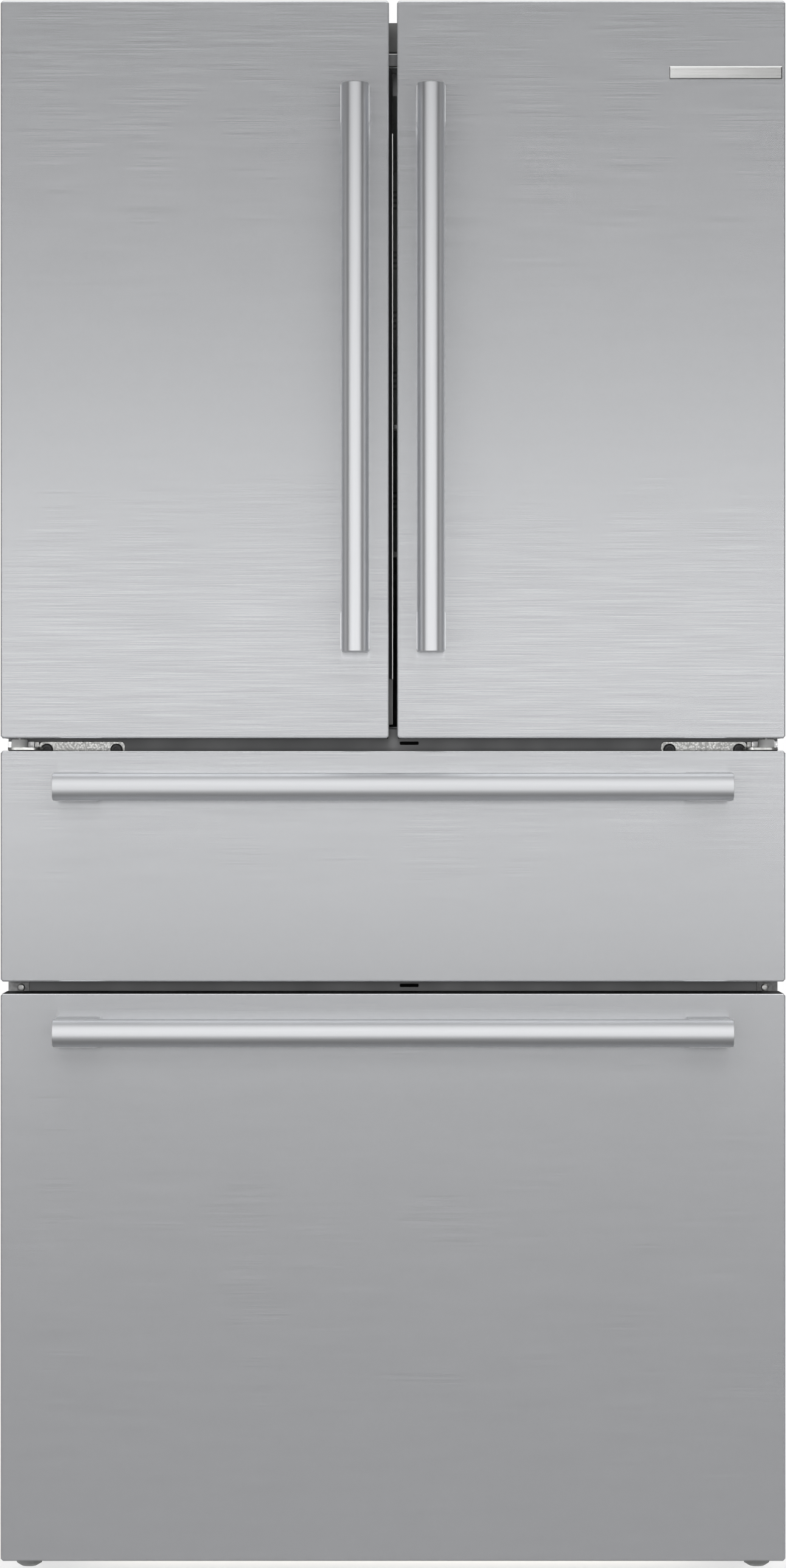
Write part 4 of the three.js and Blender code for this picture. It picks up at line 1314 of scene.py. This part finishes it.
# ---- light
FACE_ENDINGS = ("door_face", "drawer_face", "drawer_handle_posts")
UPRIGHT_ENDINGS = ("door_handle_bar", "door_handle_posts")
LEVEL_ENDINGS = ("drawer_handle_bar",)
GAP_PREFIXES = (
    "middle_hinge", "hinge_bolt", "drawer_corner", "case_front_frame", "top_hinge_cover", "mullion",
    "front_foot",
)
RAIL_NAMES = ("case_front_frame", "mullion_end", "mullion_bright_strip")

SOFTBOXES = (  # name, place, target, width, height, watts, the pieces it lights
    ("panel_strip", (0, -6.3, 1.2), (0, 0, 1.2), 14, 0.8, 50, "faces"),
    ("panel_key", (0, -2.23, 1.5), (0, 0, 1.45), 3.0, 0.8, 24, "faces"),
    ("edge_top", (0, -2.0, 4.2), (0, -0.33, 0.9), 5.0, 2.0, 44, "faces"),
    ("bar_wide", (0, -4.2, 1.2), (0, 0, 1.2), 9.0, 2.3, 62, "upright_bars"),
    ("bar_core", (0, -4.2, 1.05), (0, 0, 1.05), 2.4, 1.3, 9.5, "upright_bars"),
    ("bar_side_-1", (-3, -0.4, 1.2), (0, -0.4, 1.2), 2.0, 2.0, 4, "upright_bars"),
    ("bar_side_1", (3, -0.4, 1.2), (0, -0.4, 1.2), 2.0, 2.0, 4, "upright_bars"),
    ("level_over", (0, -3.4, 3.4), (0, -0.38, 0.8), 14.0, 3.6, 98, "level_bars"),
    ("level_core", (0, -4.2, 2.0), (0, -0.38, 0.85), 10.0, 0.7, 15, "level_bars"),
    ("level_wide", (0, -4.2, 0.85), (0, -0.38, 0.85), 14.0, 1.6, 46, "level_bars"),
    ("level_low", (0, -1.6, 0.32), (0, -0.38, 0.7), 8.0, 0.6, 9, "level_bars"),
    ("gap_fill", (0, -5.4, 0.91), (0, 0, 0.91), 2.6, 0.4, 34, "gaps"),
    ("rail_fill", (0, -5.4, 0.80), (0, 0, 0.80), 2.6, 0.5, 20, "rails"),
    ("centre_fill", (0, -5.4, 1.35), (0, 0, 1.35), 0.6, 1.5, 95, "rails"),
    ("soft_front", (-1.6, -4.4, 3.0), (0, 0, 1.0), 3.5, 2.5, 150, "rest"),
    ("soft_top", (0.8, -0.6, 4.2), (0, 0, 0.8), 3.0, 3.0, 80, "rest"),
    ("soft_back", (2.6, 3.6, 2.2), (0, 0.4, 0.9), 1.4, 2.4, 60, "rest"),
)
UNREFLECTED = ("panel_key",)


def group(name, members):
    collection = bpy.data.collections.new(name)
    bpy.context.scene.collection.children.link(collection)
    for member in members:
        collection.objects.link(member)
    return collection


def light_groups(ground):
    """The pieces that each set of lamps lights. The rest leaves out the faces and the bars only."""
    shown = [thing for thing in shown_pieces() if thing.type == "MESH"]

    def ending(endings):
        return [thing for thing in shown if thing.name.endswith(endings)]

    members = {
        "faces": ending(FACE_ENDINGS),
        "upright_bars": ending(UPRIGHT_ENDINGS),
        "level_bars": ending(LEVEL_ENDINGS),
    }
    special = set(members["faces"] + members["upright_bars"] + members["level_bars"])
    members["gaps"] = [thing for thing in shown if thing.name.startswith(GAP_PREFIXES)]
    members["rails"] = [thing for thing in shown if thing.name in RAIL_NAMES]
    members["rest"] = [thing for thing in shown if thing not in special]
    members["stage"] = [ground]
    return {name: group(f"lit_{name}", things) for name, things in members.items()}


def softbox(name, location, target, width, height, power, receivers):
    data = bpy.data.lights.new(name, "AREA")
    data.shape = "RECTANGLE"
    data.size = width
    data.size_y = height
    data.energy = power
    lamp = bpy.data.objects.new(name, data)
    lamp.location = location
    direction = Vector(target) - Vector(location)
    lamp.rotation_euler = direction.to_track_quat("-Z", "Y").to_euler()
    lamp.visible_glossy = name not in UNREFLECTED
    bpy.context.scene.collection.objects.link(lamp)
    lamp.light_linking.receiver_collection = receivers


def floor_wash(receivers):
    """An even, shadowless light on the floor."""
    sun = bpy.data.lights.new("floor_wash", "SUN")
    sun.energy = 2.6
    sun.angle = math.radians(60)
    sun.use_shadow = False
    wash = bpy.data.objects.new("floor_wash", sun)
    wash.rotation_euler = (math.radians(8), 0, 0)
    bpy.context.scene.collection.objects.link(wash)
    wash.light_linking.receiver_collection = receivers


def lighting(ground):
    groups = light_groups(ground)
    for *settings, receivers in SOFTBOXES:
        softbox(*settings, groups[receivers])
    floor_wash(groups["stage"])


panels()
case()
fresh_food_space()
drawers()
compressor()
fan()
rear_panel()
camera()
ground = floor()
world()
lighting(ground)
bpy.context.scene.view_settings.view_transform = "Standard"
